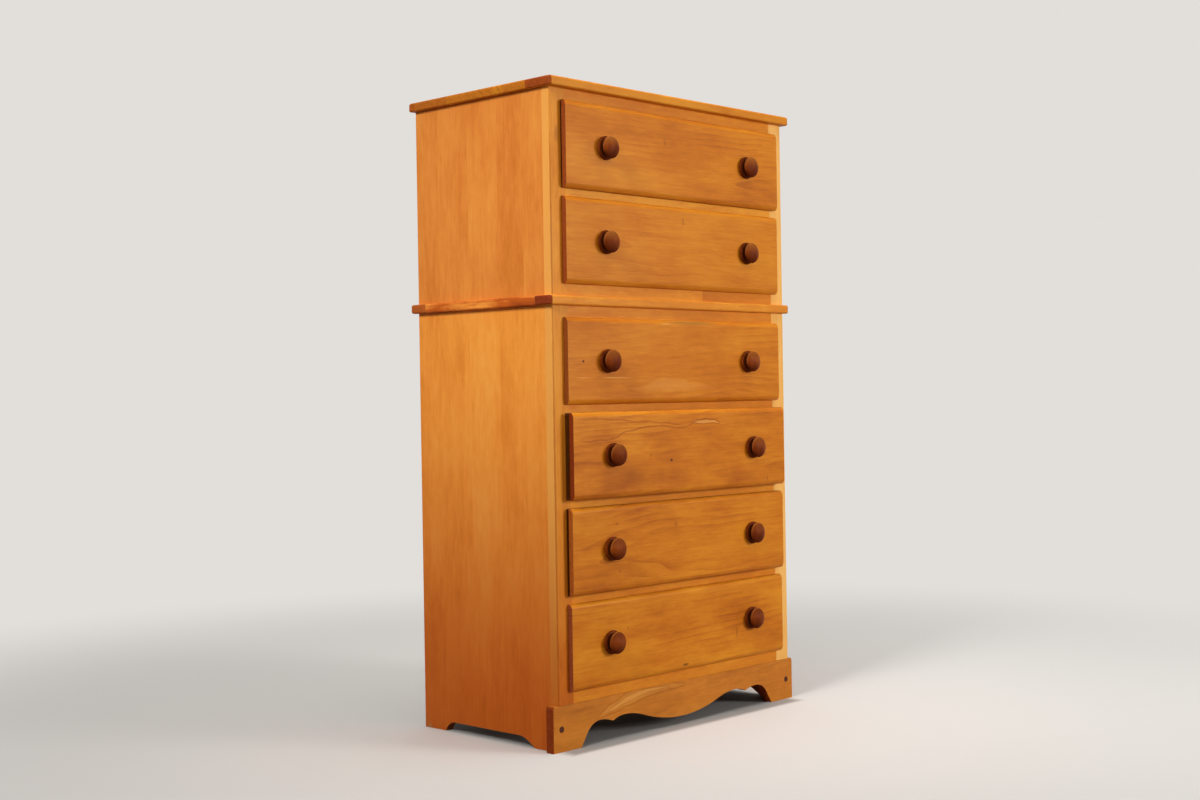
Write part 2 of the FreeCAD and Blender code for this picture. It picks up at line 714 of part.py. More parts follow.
def drawers():
    """Six drawers from one set of pieces, each placed at its opening."""
    front = drawer_front()
    left = drawer_side()
    right = mirror_across(left, "drawer_right_side")
    back_reach = f"({BOX_INSIDE} + dado_depth)"
    back = block("drawer_back", f"-{back_reach}", back_reach, f"{FAR_BACK} - back_board", FAR_BACK,
                 PANEL_TOP, f"{BOX_TOP} - board_round")
    panel_reach = f"({BOX_INSIDE} + groove_depth - groove_slack)"
    panel = block("drawer_bottom", f"-{panel_reach}", panel_reach,
                  "rebate_depth - groove_depth + groove_slack", FAR_BACK,
                  "edge_lap + groove_rise", PANEL_TOP)
    one_knob = knob()
    pair = [group(f"{name}_knob", [one_knob], x=f"{sign}knob_spacing / 2", y="-lip_thickness",
                  z="front_height / 2") for name, sign in (("left", "-"), ("right", ""))]
    pieces = {"front": [front], "left_side": [left], "right_side": [right], "back": [back],
              "bottom": [panel], "knobs": pair}
    for drawer in range(1, UPPER_DRAWERS + LOWER_DRAWERS + 1):
        for piece, shapes in pieces.items():
            name = f"drawer_{drawer}_{piece}"
            node(group(name, shapes, y=f"{FRONT} - ajar_{drawer}", z=front_bottom(drawer)), name)


# ---------------------------------------------------------------- the whole chest
lower_side()
upper_side()
back_panels()
face_frame("lower", "apron_height", LOWER_TOP, LOWER_DRAWERS, "apron_height")
face_frame("upper", UPPER_BOTTOM, UPPER_TOP, UPPER_DRAWERS, UPPER_BOTTOM)
runners("lower", "apron_height", LOWER_TOP, LOWER_DRAWERS)
runners("upper", UPPER_BOTTOM, UPPER_TOP, UPPER_DRAWERS)
apron()
waist()
top_panel()
drawers()
doc.recompute()

for thing in doc.Objects:
    if {"Invalid", "Error"} & set(thing.State):
        raise RuntimeError(f"{thing.Name} failed: {thing.State}")
for piece in nodes:
    if piece.Shape.isNull() or not piece.Shape.isValid():
        raise RuntimeError(f"{piece.Label} has no valid shape")

os.makedirs("parts", exist_ok=True)
for piece in nodes:
    piece.Shape.exportStep(f"parts/{piece.Label}.step")
print(len(nodes), "sub-parts,", sum(len(piece.Shape.Solids) for piece in nodes), "solids")
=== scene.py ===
# %% [markdown]
# # A chest on chest in maple
#
# The chest is two cases, one standing on the other, with a thin frame between them, six lipped
# drawers and a scalloped apron in front of the feet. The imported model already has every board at
# its true size, so this lesson gives the boards eased edges and wood, turns the knobs, drives the
# small screws and pins, and lights the chest in a plain studio.

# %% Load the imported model
import json
import math

import bmesh
import bpy
from mathutils import Matrix, Vector

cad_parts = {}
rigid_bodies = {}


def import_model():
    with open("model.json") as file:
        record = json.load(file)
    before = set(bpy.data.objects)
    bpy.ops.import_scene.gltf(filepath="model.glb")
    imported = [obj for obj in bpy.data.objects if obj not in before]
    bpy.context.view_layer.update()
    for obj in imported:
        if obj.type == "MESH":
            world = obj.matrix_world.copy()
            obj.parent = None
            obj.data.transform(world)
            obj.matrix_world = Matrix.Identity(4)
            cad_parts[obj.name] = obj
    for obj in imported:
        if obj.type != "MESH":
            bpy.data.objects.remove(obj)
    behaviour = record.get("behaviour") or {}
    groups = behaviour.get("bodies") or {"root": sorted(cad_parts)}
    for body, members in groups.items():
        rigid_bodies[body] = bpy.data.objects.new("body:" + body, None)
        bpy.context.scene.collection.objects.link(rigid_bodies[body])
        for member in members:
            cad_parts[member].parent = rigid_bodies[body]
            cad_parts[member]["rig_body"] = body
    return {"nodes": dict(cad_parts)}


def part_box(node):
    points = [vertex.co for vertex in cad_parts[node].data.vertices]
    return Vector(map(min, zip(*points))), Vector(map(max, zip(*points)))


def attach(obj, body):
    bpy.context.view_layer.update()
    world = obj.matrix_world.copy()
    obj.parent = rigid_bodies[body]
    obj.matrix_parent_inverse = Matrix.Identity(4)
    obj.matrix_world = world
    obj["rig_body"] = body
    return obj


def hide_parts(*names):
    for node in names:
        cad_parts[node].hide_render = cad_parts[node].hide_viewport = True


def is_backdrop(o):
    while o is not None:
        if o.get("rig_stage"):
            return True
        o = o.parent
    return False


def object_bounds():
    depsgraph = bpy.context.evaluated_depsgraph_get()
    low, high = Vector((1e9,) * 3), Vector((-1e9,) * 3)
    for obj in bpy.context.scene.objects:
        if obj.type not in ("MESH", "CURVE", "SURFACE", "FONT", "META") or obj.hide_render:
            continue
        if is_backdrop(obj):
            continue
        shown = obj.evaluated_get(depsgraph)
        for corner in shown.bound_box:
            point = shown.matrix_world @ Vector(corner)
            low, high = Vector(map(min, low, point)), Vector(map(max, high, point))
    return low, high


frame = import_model()
nodes = frame["nodes"]
cad_low, cad_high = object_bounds()
print(len(nodes), "boards and parts,", "height", round(cad_high.z - cad_low.z, 3), "m")

# %% [markdown]
# ## The camera
#
# The camera stands at the front left corner, a little over half the chest's height, with its line
# of sight almost level. Its place is measured from the face frame, and its three axes are worked
# out from yaw, pitch and roll, so that the small roll of a hand-held camera is just one number.

# %% Camera
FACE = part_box("lower_left_stile")[0].y
CAMERA_PLACE = Vector((-2.5814, FACE - 2.2572, 0.7021))
YAW, PITCH, ROLL = (math.radians(angle) for angle in (46.094, -0.247, -0.924))
LENS, SENSOR_WIDTH = 48.594, 36


def look(yaw, pitch, roll):
    """A camera's rotation: yaw from +Y towards +X, pitch up, roll against the clock."""
    ahead = Vector((math.sin(yaw) * math.cos(pitch), math.cos(yaw) * math.cos(pitch),
                    math.sin(pitch)))
    level = Vector((math.cos(yaw), -math.sin(yaw), 0))
    above = level.cross(ahead)
    right = math.cos(roll) * level + math.sin(roll) * above
    up = math.cos(roll) * above - math.sin(roll) * level
    return Matrix((right, up, -ahead)).transposed()


camera = bpy.data.objects.new("camera", bpy.data.cameras.new("camera"))
bpy.context.collection.objects.link(camera)
camera.matrix_world = Matrix.Translation(CAMERA_PLACE) @ look(YAW, PITCH, ROLL).to_4x4()
camera.data.lens = LENS
camera.data.sensor_width = SENSOR_WIDTH
bpy.context.scene.camera = camera
bpy.context.scene.view_settings.view_transform = "Standard"
print("camera at", [round(c, 2) for c in CAMERA_PLACE])

# %% [markdown]
# ## Small helpers for shader nodes
#
# Wood is built from a few dozen shader nodes. One helper adds a node and fills its sockets, others
# do a sum or mix two colours, and one turns a colour as painters write it into the numbers that
# Blender mixes.

# %% Shader helpers


def paint(code):
    """A colour written as hex digits, as Blender's linear red, green, blue and alpha."""
    parts = [int(code[i:i + 2], 16) / 255 for i in (0, 2, 4)]
    return [c / 12.92 if c < 0.04045 else ((c + 0.055) / 1.055) ** 2.4 for c in parts] + [1]


def add(tree, kind, sockets=None, **settings):
    """Add a shader node, choose its options, and plug or set its sockets."""
    made = tree.nodes.new("ShaderNode" + kind)
    for option, value in settings.items():
        setattr(made, option, value)
    return plug_in(tree, made, sockets or {})


def plug_in(tree, node, sockets):
    """Plug or set sockets of a node."""
    for socket, value in sockets.items():
        if isinstance(value, bpy.types.NodeSocket):
            tree.links.new(value, node.inputs[socket])
        else:
            node.inputs[socket].default_value = value
    return node


def calc(tree, operation, *values):
    """One sum on numbers or sockets."""
    return add(tree, "Math", dict(enumerate(values)), operation=operation).outputs[0]


def vector(tree, operation, *values):
    """One sum on vectors."""
    return add(tree, "VectorMath", dict(enumerate(values)), operation=operation).outputs[0]


def length_of(tree, value):
    """The length of a vector."""
    return add(tree, "VectorMath", {0: value}, operation="LENGTH").outputs["Value"]


def blend_colour(tree, share, first, second, kind="MIX"):
    """Mix two colours by a share from 0 to 1."""
    mixed = add(tree, "Mix", {0: share, 6: first, 7: second}, data_type="RGBA", blend_type=kind)
    return mixed.outputs[2]


def spread(tree, value, low, high, to_low=0.0, to_high=1.0, kind="SMOOTHSTEP"):
    """Stretch the part of a value between low and high over a new range."""
    sockets = {"Value": value, "From Min": low, "From Max": high,
               "To Min": to_low, "To Max": to_high}
    return add(tree, "MapRange", sockets, interpolation_type=kind).outputs["Result"]


def blank(name):
    """A material with only an output and a Principled shader."""
    material = bpy.data.materials.new(name)
    material.use_nodes = True
    tree = material.node_tree
    tree.nodes.clear()
    shader = add(tree, "BsdfPrincipled")
    tree.links.new(shader.outputs[0], add(tree, "OutputMaterial").inputs["Surface"])
    return material, tree, shader


print("orange maple is", [round(c, 3) for c in paint("D98234")])

# %% [markdown]
# ## Glued boards, marks and patches
#
# Three things are laid over plain wood. A wide panel is glued up from staves that don't quite
# match, which a stepped colour ramp across the panel gives. A mark, such as a pin knot, a dent or
# a scratch, is a soft spot round one point. A patch is a box of darker colour: painted shade on
# the wood under a drawer's lip, which the lip keeps in shadow, or a painted shadow on the floor
# under the chest. All of them are worked out from the place on the board, so they stay sharp
# however near one looks.

# %% Staves, marks and patches
STAVE_SPAN, LUCK_STEP = 0.5, 0.37
MARK_CORE = 0.3


def stave_tones(tree, place, staves):
    """The tone, end-grain paleness and luck of the glued board that a point lies in."""
    axis, boards_across = staves
    first = boards_across[0][0]
    across = add(tree, "SeparateXYZ", {0: place}).outputs[axis]
    along_ramp = spread(tree, across, first, first + STAVE_SPAN, kind="LINEAR")
    ramp = add(tree, "ValToRGB", {"Fac": along_ramp})
    steps = ramp.color_ramp
    steps.interpolation = "CONSTANT"
    steps.elements.remove(steps.elements[1])
    for number, (start, tone, paleness) in enumerate(boards_across):
        if number:
            steps.elements.new((start - first) / STAVE_SPAN)
        steps.elements[number].color = (tone, paleness, (number * LUCK_STEP) % 1, 1)
    return add(tree, "SeparateColor", {0: ramp.outputs["Color"]}).outputs


def lay_mark(tree, colour, place, mark):
    """Blend a small soft-edged knot, stain or scratch over a colour."""
    centre, reach, strength, tint = mark
    away = vector(tree, "DIVIDE", vector(tree, "SUBTRACT", place, centre), reach)
    share = spread(tree, length_of(tree, away), MARK_CORE, 1.0, strength, 0.0)
    return blend_colour(tree, share, colour, paint(tint))


def lay_patch(tree, colour, place, low, high, strength, tint, soft=0.0001):
    """Blend a box-shaped patch over a colour; soft is the share of its size that fades."""
    centre, half = (low + high) / 2, (high - low) / 2
    off = vector(tree, "SUBTRACT", place, centre)
    away = vector(tree, "ABSOLUTE", vector(tree, "DIVIDE", off, half))
    split = add(tree, "SeparateXYZ", {0: away}).outputs
    widest = calc(tree, "MAXIMUM", calc(tree, "MAXIMUM", split["X"], split["Y"]), split["Z"])
    share = spread(tree, widest, 1.0 - soft, 1.0, strength, 0.0)
    return blend_colour(tree, share, colour, paint(tint))


print("a glued panel may be", STAVE_SPAN, "m wide")

# %% [markdown]
# ## Bold growth lines and pale flames
#
# Noise gives a lively figure, but it can't put one line where the real board has it. A vein is
# such a line that wanders along a board: a float curve gives its height at each place, and the
# distance to it gives the line. A leaf is the pale flame between two such lines, with a dark edge.

# %% Veins and leaves
VEIN_CORE, VEIN_BODY, LEAF_BODY = 0.2, 0.8, 0.85
LEAF_EDGE_WIDTH, LEAF_EDGE_STRENGTH = (0.0004, 0.0020), 0.8


def line_height(tree, across, points):
    """The height of a line through points (x, z) at each place across a board."""
    (x_low, x_high), (z_low, z_high) = ([min(line), max(line)] for line in zip(*points))
    along = spread(tree, across, x_low, x_high, kind="LINEAR")
    curve = add(tree, "FloatCurve", {"Value": along})
    line = curve.mapping.curves[0]
    shape = [((x - x_low) / (x_high - x_low), (z - z_low) / (z_high - z_low)) for x, z in points]
    line.points[0].location, line.points[1].location = shape[0], shape[-1]
    for point in shape[1:-1]:
        line.points.new(*point)
    curve.mapping.update()
    return spread(tree, curve.outputs[0], 0.0, 1.0, z_low, z_high, kind="LINEAR")


def between_ends(tree, across, points, body):
    """1 along the body of a line, and fading to 0 towards both of its ends."""
    middle, half = (points[0][0] + points[-1][0]) / 2, (points[-1][0] - points[0][0]) / 2
    off = calc(tree, "ABSOLUTE", calc(tree, "SUBTRACT", across, middle))
    return spread(tree, off, half * body, half, 1.0, 0.0)


def lay_vein(tree, colour, place, vein):
    """Blend one wandering growth line over a colour; its points are X and Z on the board."""
    points, width, strength, tint = vein
    split = add(tree, "SeparateXYZ", {0: place}).outputs
    off = calc(tree, "SUBTRACT", split["Z"], line_height(tree, split["X"], points))
    share = spread(tree, calc(tree, "ABSOLUTE", off), width * VEIN_CORE, width, strength, 0.0)
    share = calc(tree, "MULTIPLY", share, between_ends(tree, split["X"], points, VEIN_BODY))
    return blend_colour(tree, share, colour, paint(tint))


def lay_leaf(tree, colour, place, leaf):
    """Blend a pale flame over a colour, between a lower and an upper line, with a dark edge."""
    lower, upper, soft, strength, tint, edge = leaf
    split = add(tree, "SeparateXYZ", {0: place}).outputs
    inside = calc(tree, "MINIMUM",
                  calc(tree, "SUBTRACT", split["Z"], line_height(tree, split["X"], lower)),
                  calc(tree, "SUBTRACT", line_height(tree, split["X"], upper), split["Z"]))
    within = between_ends(tree, split["X"], upper, LEAF_BODY)
    flame = spread(tree, inside, 0.0, soft, 0.0, strength)
    rim = spread(tree, calc(tree, "ABSOLUTE", inside), *LEAF_EDGE_WIDTH,
                 strength * LEAF_EDGE_STRENGTH, 0.0)
    colour = blend_colour(tree, calc(tree, "MULTIPLY", within, flame), colour, paint(tint))
    return blend_colour(tree, calc(tree, "MULTIPLY", within, rim), colour, paint(edge))


print("a leaf's edge is", 1000 * LEAF_EDGE_WIDTH[1], "mm wide on each side")

# %% [markdown]
# ## Grain and growth rings
#
# A board is a slice of a tree: its figure is the growth rings, cut along the trunk. So the ring
# pattern here is really round, about a line (the pith) that runs beside the board along its
# grain, and it is warped by slow noise as a trunk is. The noise is drawn out along the grain, as
# fibres are. A flat picture of wood wrapped round a board would show no end grain and no rings
# that go round the corner.

# %% Grain
GRAIN_TURN = {"X": (0, 0, 0), "Y": (0, 0, -math.pi / 2), "Z": (0, math.pi / 2, 0)}
SEED_STEP = 7.3
# A wave texture of scale 1 has rings 0.314 wide. They show most where another noise is high.
RING_WIDTH, WAVE_RING_WIDTH = 0.014, 0.314
RING_SHARPNESS, RING_PATCHES = 2.5, (0.42, 0.68)
RING_WANDER, RING_RIPPLE = (0.0, 0.09, 0.09), (0.0, 0.005, 0.005)
TRUNK_LEAN = (0.0, 0.03, 0.04)


def drawn_out(tree, along, seed, lengthwise, crosswise, detail=2.0, roughness=0.5):
    """Noise that is drawn out along the grain, given as streaks to the metre."""
    stretched = add(tree, "Mapping", {"Vector": along,
                                      "Scale": (lengthwise, crosswise, crosswise)})
    sockets = {"Vector": stretched.outputs[0], "W": seed * SEED_STEP, "Scale": 1.0,
               "Detail": detail, "Roughness": roughness}
    return add(tree, "TexNoise", sockets, noise_dimensions="4D").outputs


def growth_rings(tree, along, seed):
    """Growth rings round the pith, warped by slow noise: 0 in early wood, 1 in late wood."""
    wander = vector(tree, "MULTIPLY_ADD", drawn_out(tree, along, seed, 2.0, 6.0)["Color"],
                    RING_WANDER, along)
    ripple = vector(tree, "MULTIPLY_ADD", drawn_out(tree, along, seed + 3, 14.0, 36.0)["Color"],
                    RING_RIPPLE, wander)
    leaning = add(tree, "Mapping", {"Vector": ripple, "Rotation": TRUNK_LEAN}).outputs[0]
    rings = add(tree, "TexWave", {"Vector": leaning, "Scale": WAVE_RING_WIDTH / RING_WIDTH},
                wave_type="RINGS", rings_direction="X", wave_profile="SAW").outputs["Fac"]
    strength = spread(tree, drawn_out(tree, along, seed + 5, 5.0, 16.0)["Fac"], *RING_PATCHES)
    return calc(tree, "MULTIPLY", calc(tree, "POWER", rings, RING_SHARPNESS), strength)


print("growth rings are about", 1000 * RING_WIDTH, "mm wide")

# %% [markdown]
# ## End grain, sunlight, painted shade and wear
#
# Where a face looks along the grain, open pores drink more stain, so the same wood shows its
# thirsty, dark end grain. Sunlight bleaches the faces that it reaches, and painted shade darkens a
# foot towards the floor. Edges turn paler, partly worn and partly painted highlight, and hollows
# get painted shade: the meshes say where, as attributes of their face corners, because the place
# alone can't tell an edge from a flat.

# %% End grain, painted shade and wear
# From which to which slope a face counts as looking along the grain, or sideways.
LENGTHWISE, SIDEWAYS = (0.15, 0.50), (0.5, 0.9)
PORES, END_RINGS, BLEACHING = (0.3, 0.7, 0.85, 1.2), -0.2, 0.75
# The colour of painted shade, in the knobs' hollows and under their heads.
PAINTED_SHADE_COLOUR = "240E04"


def end_grain_share(tree, normal, grain):
    """1 on faces that look along the grain, 0 on faces that look across it."""
    facing = add(tree, "Mapping", {"Vector": normal, "Rotation": GRAIN_TURN[grain]},
                 vector_type="VECTOR")
    lengthwise = add(tree, "SeparateXYZ", {0: facing.outputs[0]}).outputs["X"]
    return spread(tree, calc(tree, "ABSOLUTE", lengthwise), *LENGTHWISE)


def end_grain(tree, end_colour, along, seed, late_wood):
    """End grain: its own colour with darker rings and fine pores."""
    pores = spread(tree, drawn_out(tree, along, seed, 60.0, 260.0)["Fac"], *PORES)
    end_tone = calc(tree, "MULTIPLY_ADD", late_wood, END_RINGS, pores)
    return blend_colour(tree, 1.0, end_colour, end_tone, "MULTIPLY")


def bleach(tree, colour, normal, tint):
    """Bleach the faces that look sideways."""
    sideways = add(tree, "SeparateXYZ", {0: normal}).outputs["X"]
    share = spread(tree, calc(tree, "ABSOLUTE", sideways), *SIDEWAYS, 0.0, BLEACHING)
    return blend_colour(tree, share, colour, paint(tint))


def darken_downwards(tree, colour, place, shade):
    """Darken a colour from an upper height down to a lower one: painted shade."""
    low, high, strength, tint = shade
    height = add(tree, "SeparateXYZ", {0: place}).outputs["Z"]
    dim = spread(tree, height, low, high, strength, 0.0)
    dark = blend_colour(tree, 1.0, colour, paint(tint), "MULTIPLY")
    return blend_colour(tree, dim, colour, dark)


def lay_shade_and_wear(tree, colour, wear_and_sheen_share, wear_and_sheen_colour):
    """Blend in painted shade and paler edges, partly worn and partly painted highlight."""
    grime = add(tree, "Attribute", attribute_name="grime").outputs["Fac"]
    colour = blend_colour(tree, grime, colour, paint(PAINTED_SHADE_COLOUR))
    worn = add(tree, "Attribute", attribute_name="worn").outputs["Fac"]
    return blend_colour(tree, calc(tree, "MULTIPLY", worn, wear_and_sheen_share), colour, wear_and_sheen_colour)


print("grime is", [round(c, 3) for c in paint(PAINTED_SHADE_COLOUR)])

# %% [markdown]
# ## Maple with a satin varnish
#
# One recipe makes every wood of the chest. Rings, clouds, streaks and fibres add up to one tone,
# all quiet, because maple is a calm wood. A ramp turns the tone into colour, and leaves, veins,
# marks, patches of painted shade, sunlight, painted shade towards the foot, end grain, and then
# painted shade in hollows with paler edges, partly worn and partly painted highlight, are laid
# over it in this order. The clouds also make the varnish a little uneven, and the streaks give it
# a relief that is too fine to model.

# %% Wood
# Each layer of noise: a step from the board's seed, streaks to the metre along and across the
# grain, detail and roughness.
LAYERS = {"cloud": (0, 5.0, 11.0, 4.0, 0.5), "mottle": (7, 30.0, 70.0, 5.0, 0.65),
          "broad": (1, 4.0, 34.0, 4.0, 0.6), "streak": (2, 14.0, 200.0, 4.0, 0.7),
          "fibre": (0, 30.0, 800.0, 2.0, 0.5)}
# How strongly the growth rings and each layer show in calm wood.
QUIET = {"rings": 0.10, "cloud": 0.60, "broad": 0.35, "mottle": 0.40, "streak": 0.35,
         "fibre": 0.20}
MEAN_NOISE, MEAN_RING = 0.5, 0.2
PALE_TONE, MIDDLE_TONE, DEEP_TONE = 0.2, 0.5, 0.85
# How far luck moves the figure of a stave, and how far noise moves a line.
STAVE_SHIFT, LINE_SHIVER = (3.0, 0.05, 0.02), (0.0, 0.0, 0.014)
CLOUD_DULLNESS, END_DULLNESS = 0.25, 0.15
STREAK_RELIEF, FIBRE_RELIEF = 0.6, 0.4
RELIEF_STRENGTH, RELIEF_HEIGHT = 0.15, 0.0003


def tone_to_colour(tree, tone, pale, middle, deep):
    """The colour of a tone, on a ramp from pale through middle to deep."""
    ramp = add(tree, "ValToRGB", {"Fac": tone})
    first, last = ramp.color_ramp.elements
    first.position, first.color = PALE_TONE, pale
    last.position, last.color = DEEP_TONE, deep
    ramp.color_ramp.elements.new(MIDDLE_TONE).color = middle
    return ramp.outputs["Color"]


def lay_lines(tree, colour, place, along, seed, leaves, veins):
    """Blend leaves and veins over a colour, all shaken by the same fine noise."""
    if not (leaves or veins):
        return colour
    noise = drawn_out(tree, along, seed + 9, 22.0, 22.0, 3.0)["Color"]
    shaken = vector(tree, "MULTIPLY_ADD", vector(tree, "SUBTRACT", noise, [MEAN_NOISE] * 3),
                    LINE_SHIVER, place)
    for leaf in leaves:
        colour = lay_leaf(tree, colour, shaken, leaf)
    for vein in veins:
        colour = lay_vein(tree, colour, shaken, vein)
    return colour


def wood(name, grain, colours, pith, seed=0.0, figure=None, staves=None, marks=(), veins=(),
         leaves=(), patches=(), dullness=0.44, shine=0.12, shade=None, bleached=None,
         edge_wear_and_sheen=(0.15, None)):
    """A wood finish.

    grain is the axis that the fibres follow. colours are the pale, middle, deep and end-grain
    colours. pith is a point that the centre of the trunk passes through. figure makes layers
    bolder or quieter than in calm wood. dullness is how rough the surface is, and shine how much
    it reflects. shade gives two heights, how far the wood darkens from the upper to the lower one
    as painted shade and towards which colour, bleached the colour of faces that look sideways, and
    the last argument how far marked edges turn towards a colour, or else towards the pale one:
    partly wear, partly painted highlight.
    """
    figure = {**QUIET, **(figure or {})}
    pale, middle, deep, end_colour = (paint(code) for code in colours)
    material, tree, shader = blank(name)
    where = add(tree, "TexCoord").outputs
    place = where["Object"]
    along = add(tree, "Mapping", {"Vector": vector(tree, "SUBTRACT", place, pith),
                                  "Rotation": GRAIN_TURN[grain]}).outputs[0]
    tone = MIDDLE_TONE
    if staves:
        tone, paleness, luck = stave_tones(tree, place, staves)
        shift = add(tree, "CombineXYZ", {0: luck, 1: luck, 2: luck}).outputs[0]
        along = vector(tree, "MULTIPLY_ADD", shift, STAVE_SHIFT, along)
        end_colour = blend_colour(tree, paleness, end_colour, pale)
    late_wood = growth_rings(tree, along, seed)
    layers = {layer: drawn_out(tree, along, seed + step, *shape)["Fac"]
              for layer, (step, *shape) in LAYERS.items()}
    for layer, noise in layers.items():
        tone = calc(tree, "MULTIPLY_ADD", calc(tree, "SUBTRACT", noise, MEAN_NOISE),
                    figure[layer], tone)
    tone = calc(tree, "MULTIPLY_ADD", calc(tree, "SUBTRACT", late_wood, MEAN_RING),
                figure["rings"], tone)
    colour = tone_to_colour(tree, tone, pale, middle, deep)
    colour = lay_lines(tree, colour, place, along, seed, leaves, veins)
    for mark in marks:
        colour = lay_mark(tree, colour, place, mark)
    for patch in patches:
        colour = lay_patch(tree, colour, place, *patch)
    if bleached:
        colour = bleach(tree, colour, where["Normal"], bleached)
    if shade:
        colour = darken_downwards(tree, colour, place, shade)
    is_end = end_grain_share(tree, where["Normal"], grain)
    colour = blend_colour(tree, is_end, colour,
                          end_grain(tree, end_colour, along, seed, late_wood))
    colour = lay_shade_and_wear(tree, colour, edge_wear_and_sheen[0], paint(edge_wear_and_sheen[1]) if edge_wear_and_sheen[1] else pale)
    roughness = calc(tree, "MULTIPLY_ADD", calc(tree, "SUBTRACT", layers["cloud"], MEAN_NOISE),
                     CLOUD_DULLNESS, dullness)
    roughness = calc(tree, "MULTIPLY_ADD", is_end, END_DULLNESS, roughness)
    relief = calc(tree, "ADD", calc(tree, "MULTIPLY", layers["streak"], STREAK_RELIEF),
                  calc(tree, "MULTIPLY", layers["fibre"], FIBRE_RELIEF))
    bump = add(tree, "Bump", {"Height": relief, "Strength": RELIEF_STRENGTH,
                              "Distance": RELIEF_HEIGHT})
    plug_in(tree, shader, {"Base Color": colour, "Roughness": roughness,
                           "Normal": bump.outputs[0], "Specular IOR Level": shine})
    return material


print("quiet figure:", QUIET)

# %% [markdown]
# ## Pieces and smooth meshes
#
# Every piece rides on one body of the chest: the case, or the drawer that carries it. Its faces
# are shaded smooth, and its corners stay crisp because their edges are marked as sharp.

# %% Pieces
SMOOTH = math.radians(50)


def link(name, mesh, body, *stood_for):
    """Put a mesh in the scene as a piece that rides on a body."""
    piece = bpy.data.objects.new(name, mesh)
    bpy.context.collection.objects.link(piece)
    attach(piece, body)
    if stood_for:
        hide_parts(*stood_for)
    return piece


def finish_mesh(bm, name):
    """Turn a bmesh into a mesh with smooth rounds and crisp flats."""
    for face in bm.faces:
        face.smooth = True
    for edge in bm.edges:
        edge.smooth = edge.is_manifold and edge.calc_face_angle() < SMOOTH
    mesh = bpy.data.meshes.new(name)
    bm.to_mesh(mesh)
    bm.free()
    return mesh


print("edges are crisp from", round(math.degrees(SMOOTH)), "degrees")

# %% [markdown]
# ## Eased boards
#
# A planed board never has a knife edge: the maker takes the corner off with sandpaper, and that
# narrow round is what catches the light. The imported meshes are loose triangles with sharp edges,
# so each board is copied, its doubled corners are merged, its flat faces become whole again, and
# its sharp edges get a small bevel. The bevel's faces are marked for the wood to turn paler:
# partly wear, partly a painted highlight along the edge. Face frames are planed flush after
# gluing, so only the edges along their grain are eased, and the long outer corner of a stile most
# of all, because hands and hips meet it.

# %% Eased boards
EASE, STILE_EASE, RAIL_EASE = 0.0007, 0.0016, 0.0004
SHARP, FLAT = math.radians(40), math.radians(0.5)
DOUBLED, TOUCHING, PARALLEL = 2e-6, 1e-5, 0.99
BEVEL_STEPS = 2


def runs_along(edge, axis):
    """Whether an edge runs along an axis."""
    first, last = (vertex.co for vertex in edge.verts)
    return abs(getattr((last - first).normalized(), axis)) > PARALLEL


def edges_to_ease(bm, node_name):
    """The edges of a board that are eased, and the width of their bevel."""
    sharp = [edge for edge in bm.edges if edge.is_manifold and edge.calc_face_angle() > SHARP]
    if node_name.endswith("stile"):
        outside = max(abs(vertex.co.x) for vertex in bm.verts)
        corner = [edge for edge in sharp if runs_along(edge, "z")
                  and all(abs(abs(v.co.x) - outside) < TOUCHING for v in edge.verts)
                  and edge.verts[0].co.y < FACE + TOUCHING]
        return corner, STILE_EASE
    if any(place + "_rail" in node_name for place in ("top", "middle", "bottom")):
        return [edge for edge in sharp if runs_along(edge, "x")], RAIL_EASE
    return sharp, EASE


def ease(node_name):
    """An eased copy of a packed board, standing in for it."""
    bm = bmesh.new()
    bm.from_mesh(nodes[node_name].data)
    bmesh.ops.remove_doubles(bm, verts=bm.verts, dist=DOUBLED)
    bmesh.ops.dissolve_limit(bm, angle_limit=FLAT, verts=bm.verts, edges=bm.edges)
    # Paler eased edges: partly wear, partly painted highlight.
    worn = bm.loops.layers.float.new("worn")
    edges, width = edges_to_ease(bm, node_name)
    rounded = bmesh.ops.bevel(bm, geom=edges, offset=width, offset_type="OFFSET",
                              segments=BEVEL_STEPS, profile=0.5, affect="EDGES",
                              clamp_overlap=True, material=-1)
    for face in rounded["faces"]:
        for loop in face.loops:
            loop[worn] = 1.0
    name = node_name + "_board"
    piece = link(name, finish_mesh(bm, name), nodes[node_name]["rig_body"], node_name)
    crisp = piece.modifiers.new("crisp flats", "WEIGHTED_NORMAL")
    crisp.keep_sharp = True
    return piece


boards = {name: ease(name) for name in sorted(nodes) if not name.endswith("_knobs")}
print(len(boards), "boards eased,", sum(len(p.data.polygons) for p in boards.values()), "faces")

# %% [markdown]
# ## Wood for the sides
#
# The side panels are glued up from upright staves and are the most orange. The lower ones darken
# and redden towards the foot: painted shade, where the light falls off towards the floor. The
# varnish has chipped off a corner of the left rear foot.

# %% Side panels
END = "80300C"
# Each tier: its colours, and how it darkens towards the foot, which is painted shade. The upper
# and lower sides are one wood; the upper ones' darker colours are painted shade.
SIDES = {"upper": (("E6963F", "DB8334", "C4691F", END), None),
         "lower": (("F5A84A", "EE9539", "D87A24", END), (0.0, 0.80, 1.0, "DAAC8B"))}
SIDE_FIGURE = {"cloud": 0.60, "broad": 0.45, "mottle": 0.45, "streak": 0.45, "rings": 0.05}
# Each stave: where it starts, its tone and how pale its end grain is.
SIDE_STAVES = ("Y", ((-0.19, 0.51, 0.2), (-0.105, 0.57, 0.1), (-0.03, 0.47, 0.3),
                     (0.06, 0.51, 0.1), (0.15, 0.55, 0.2)))
SIDE_PITHS = {"left": (-0.45, 0.03, 0.4), "right": (0.45, 0.03, 0.4)}
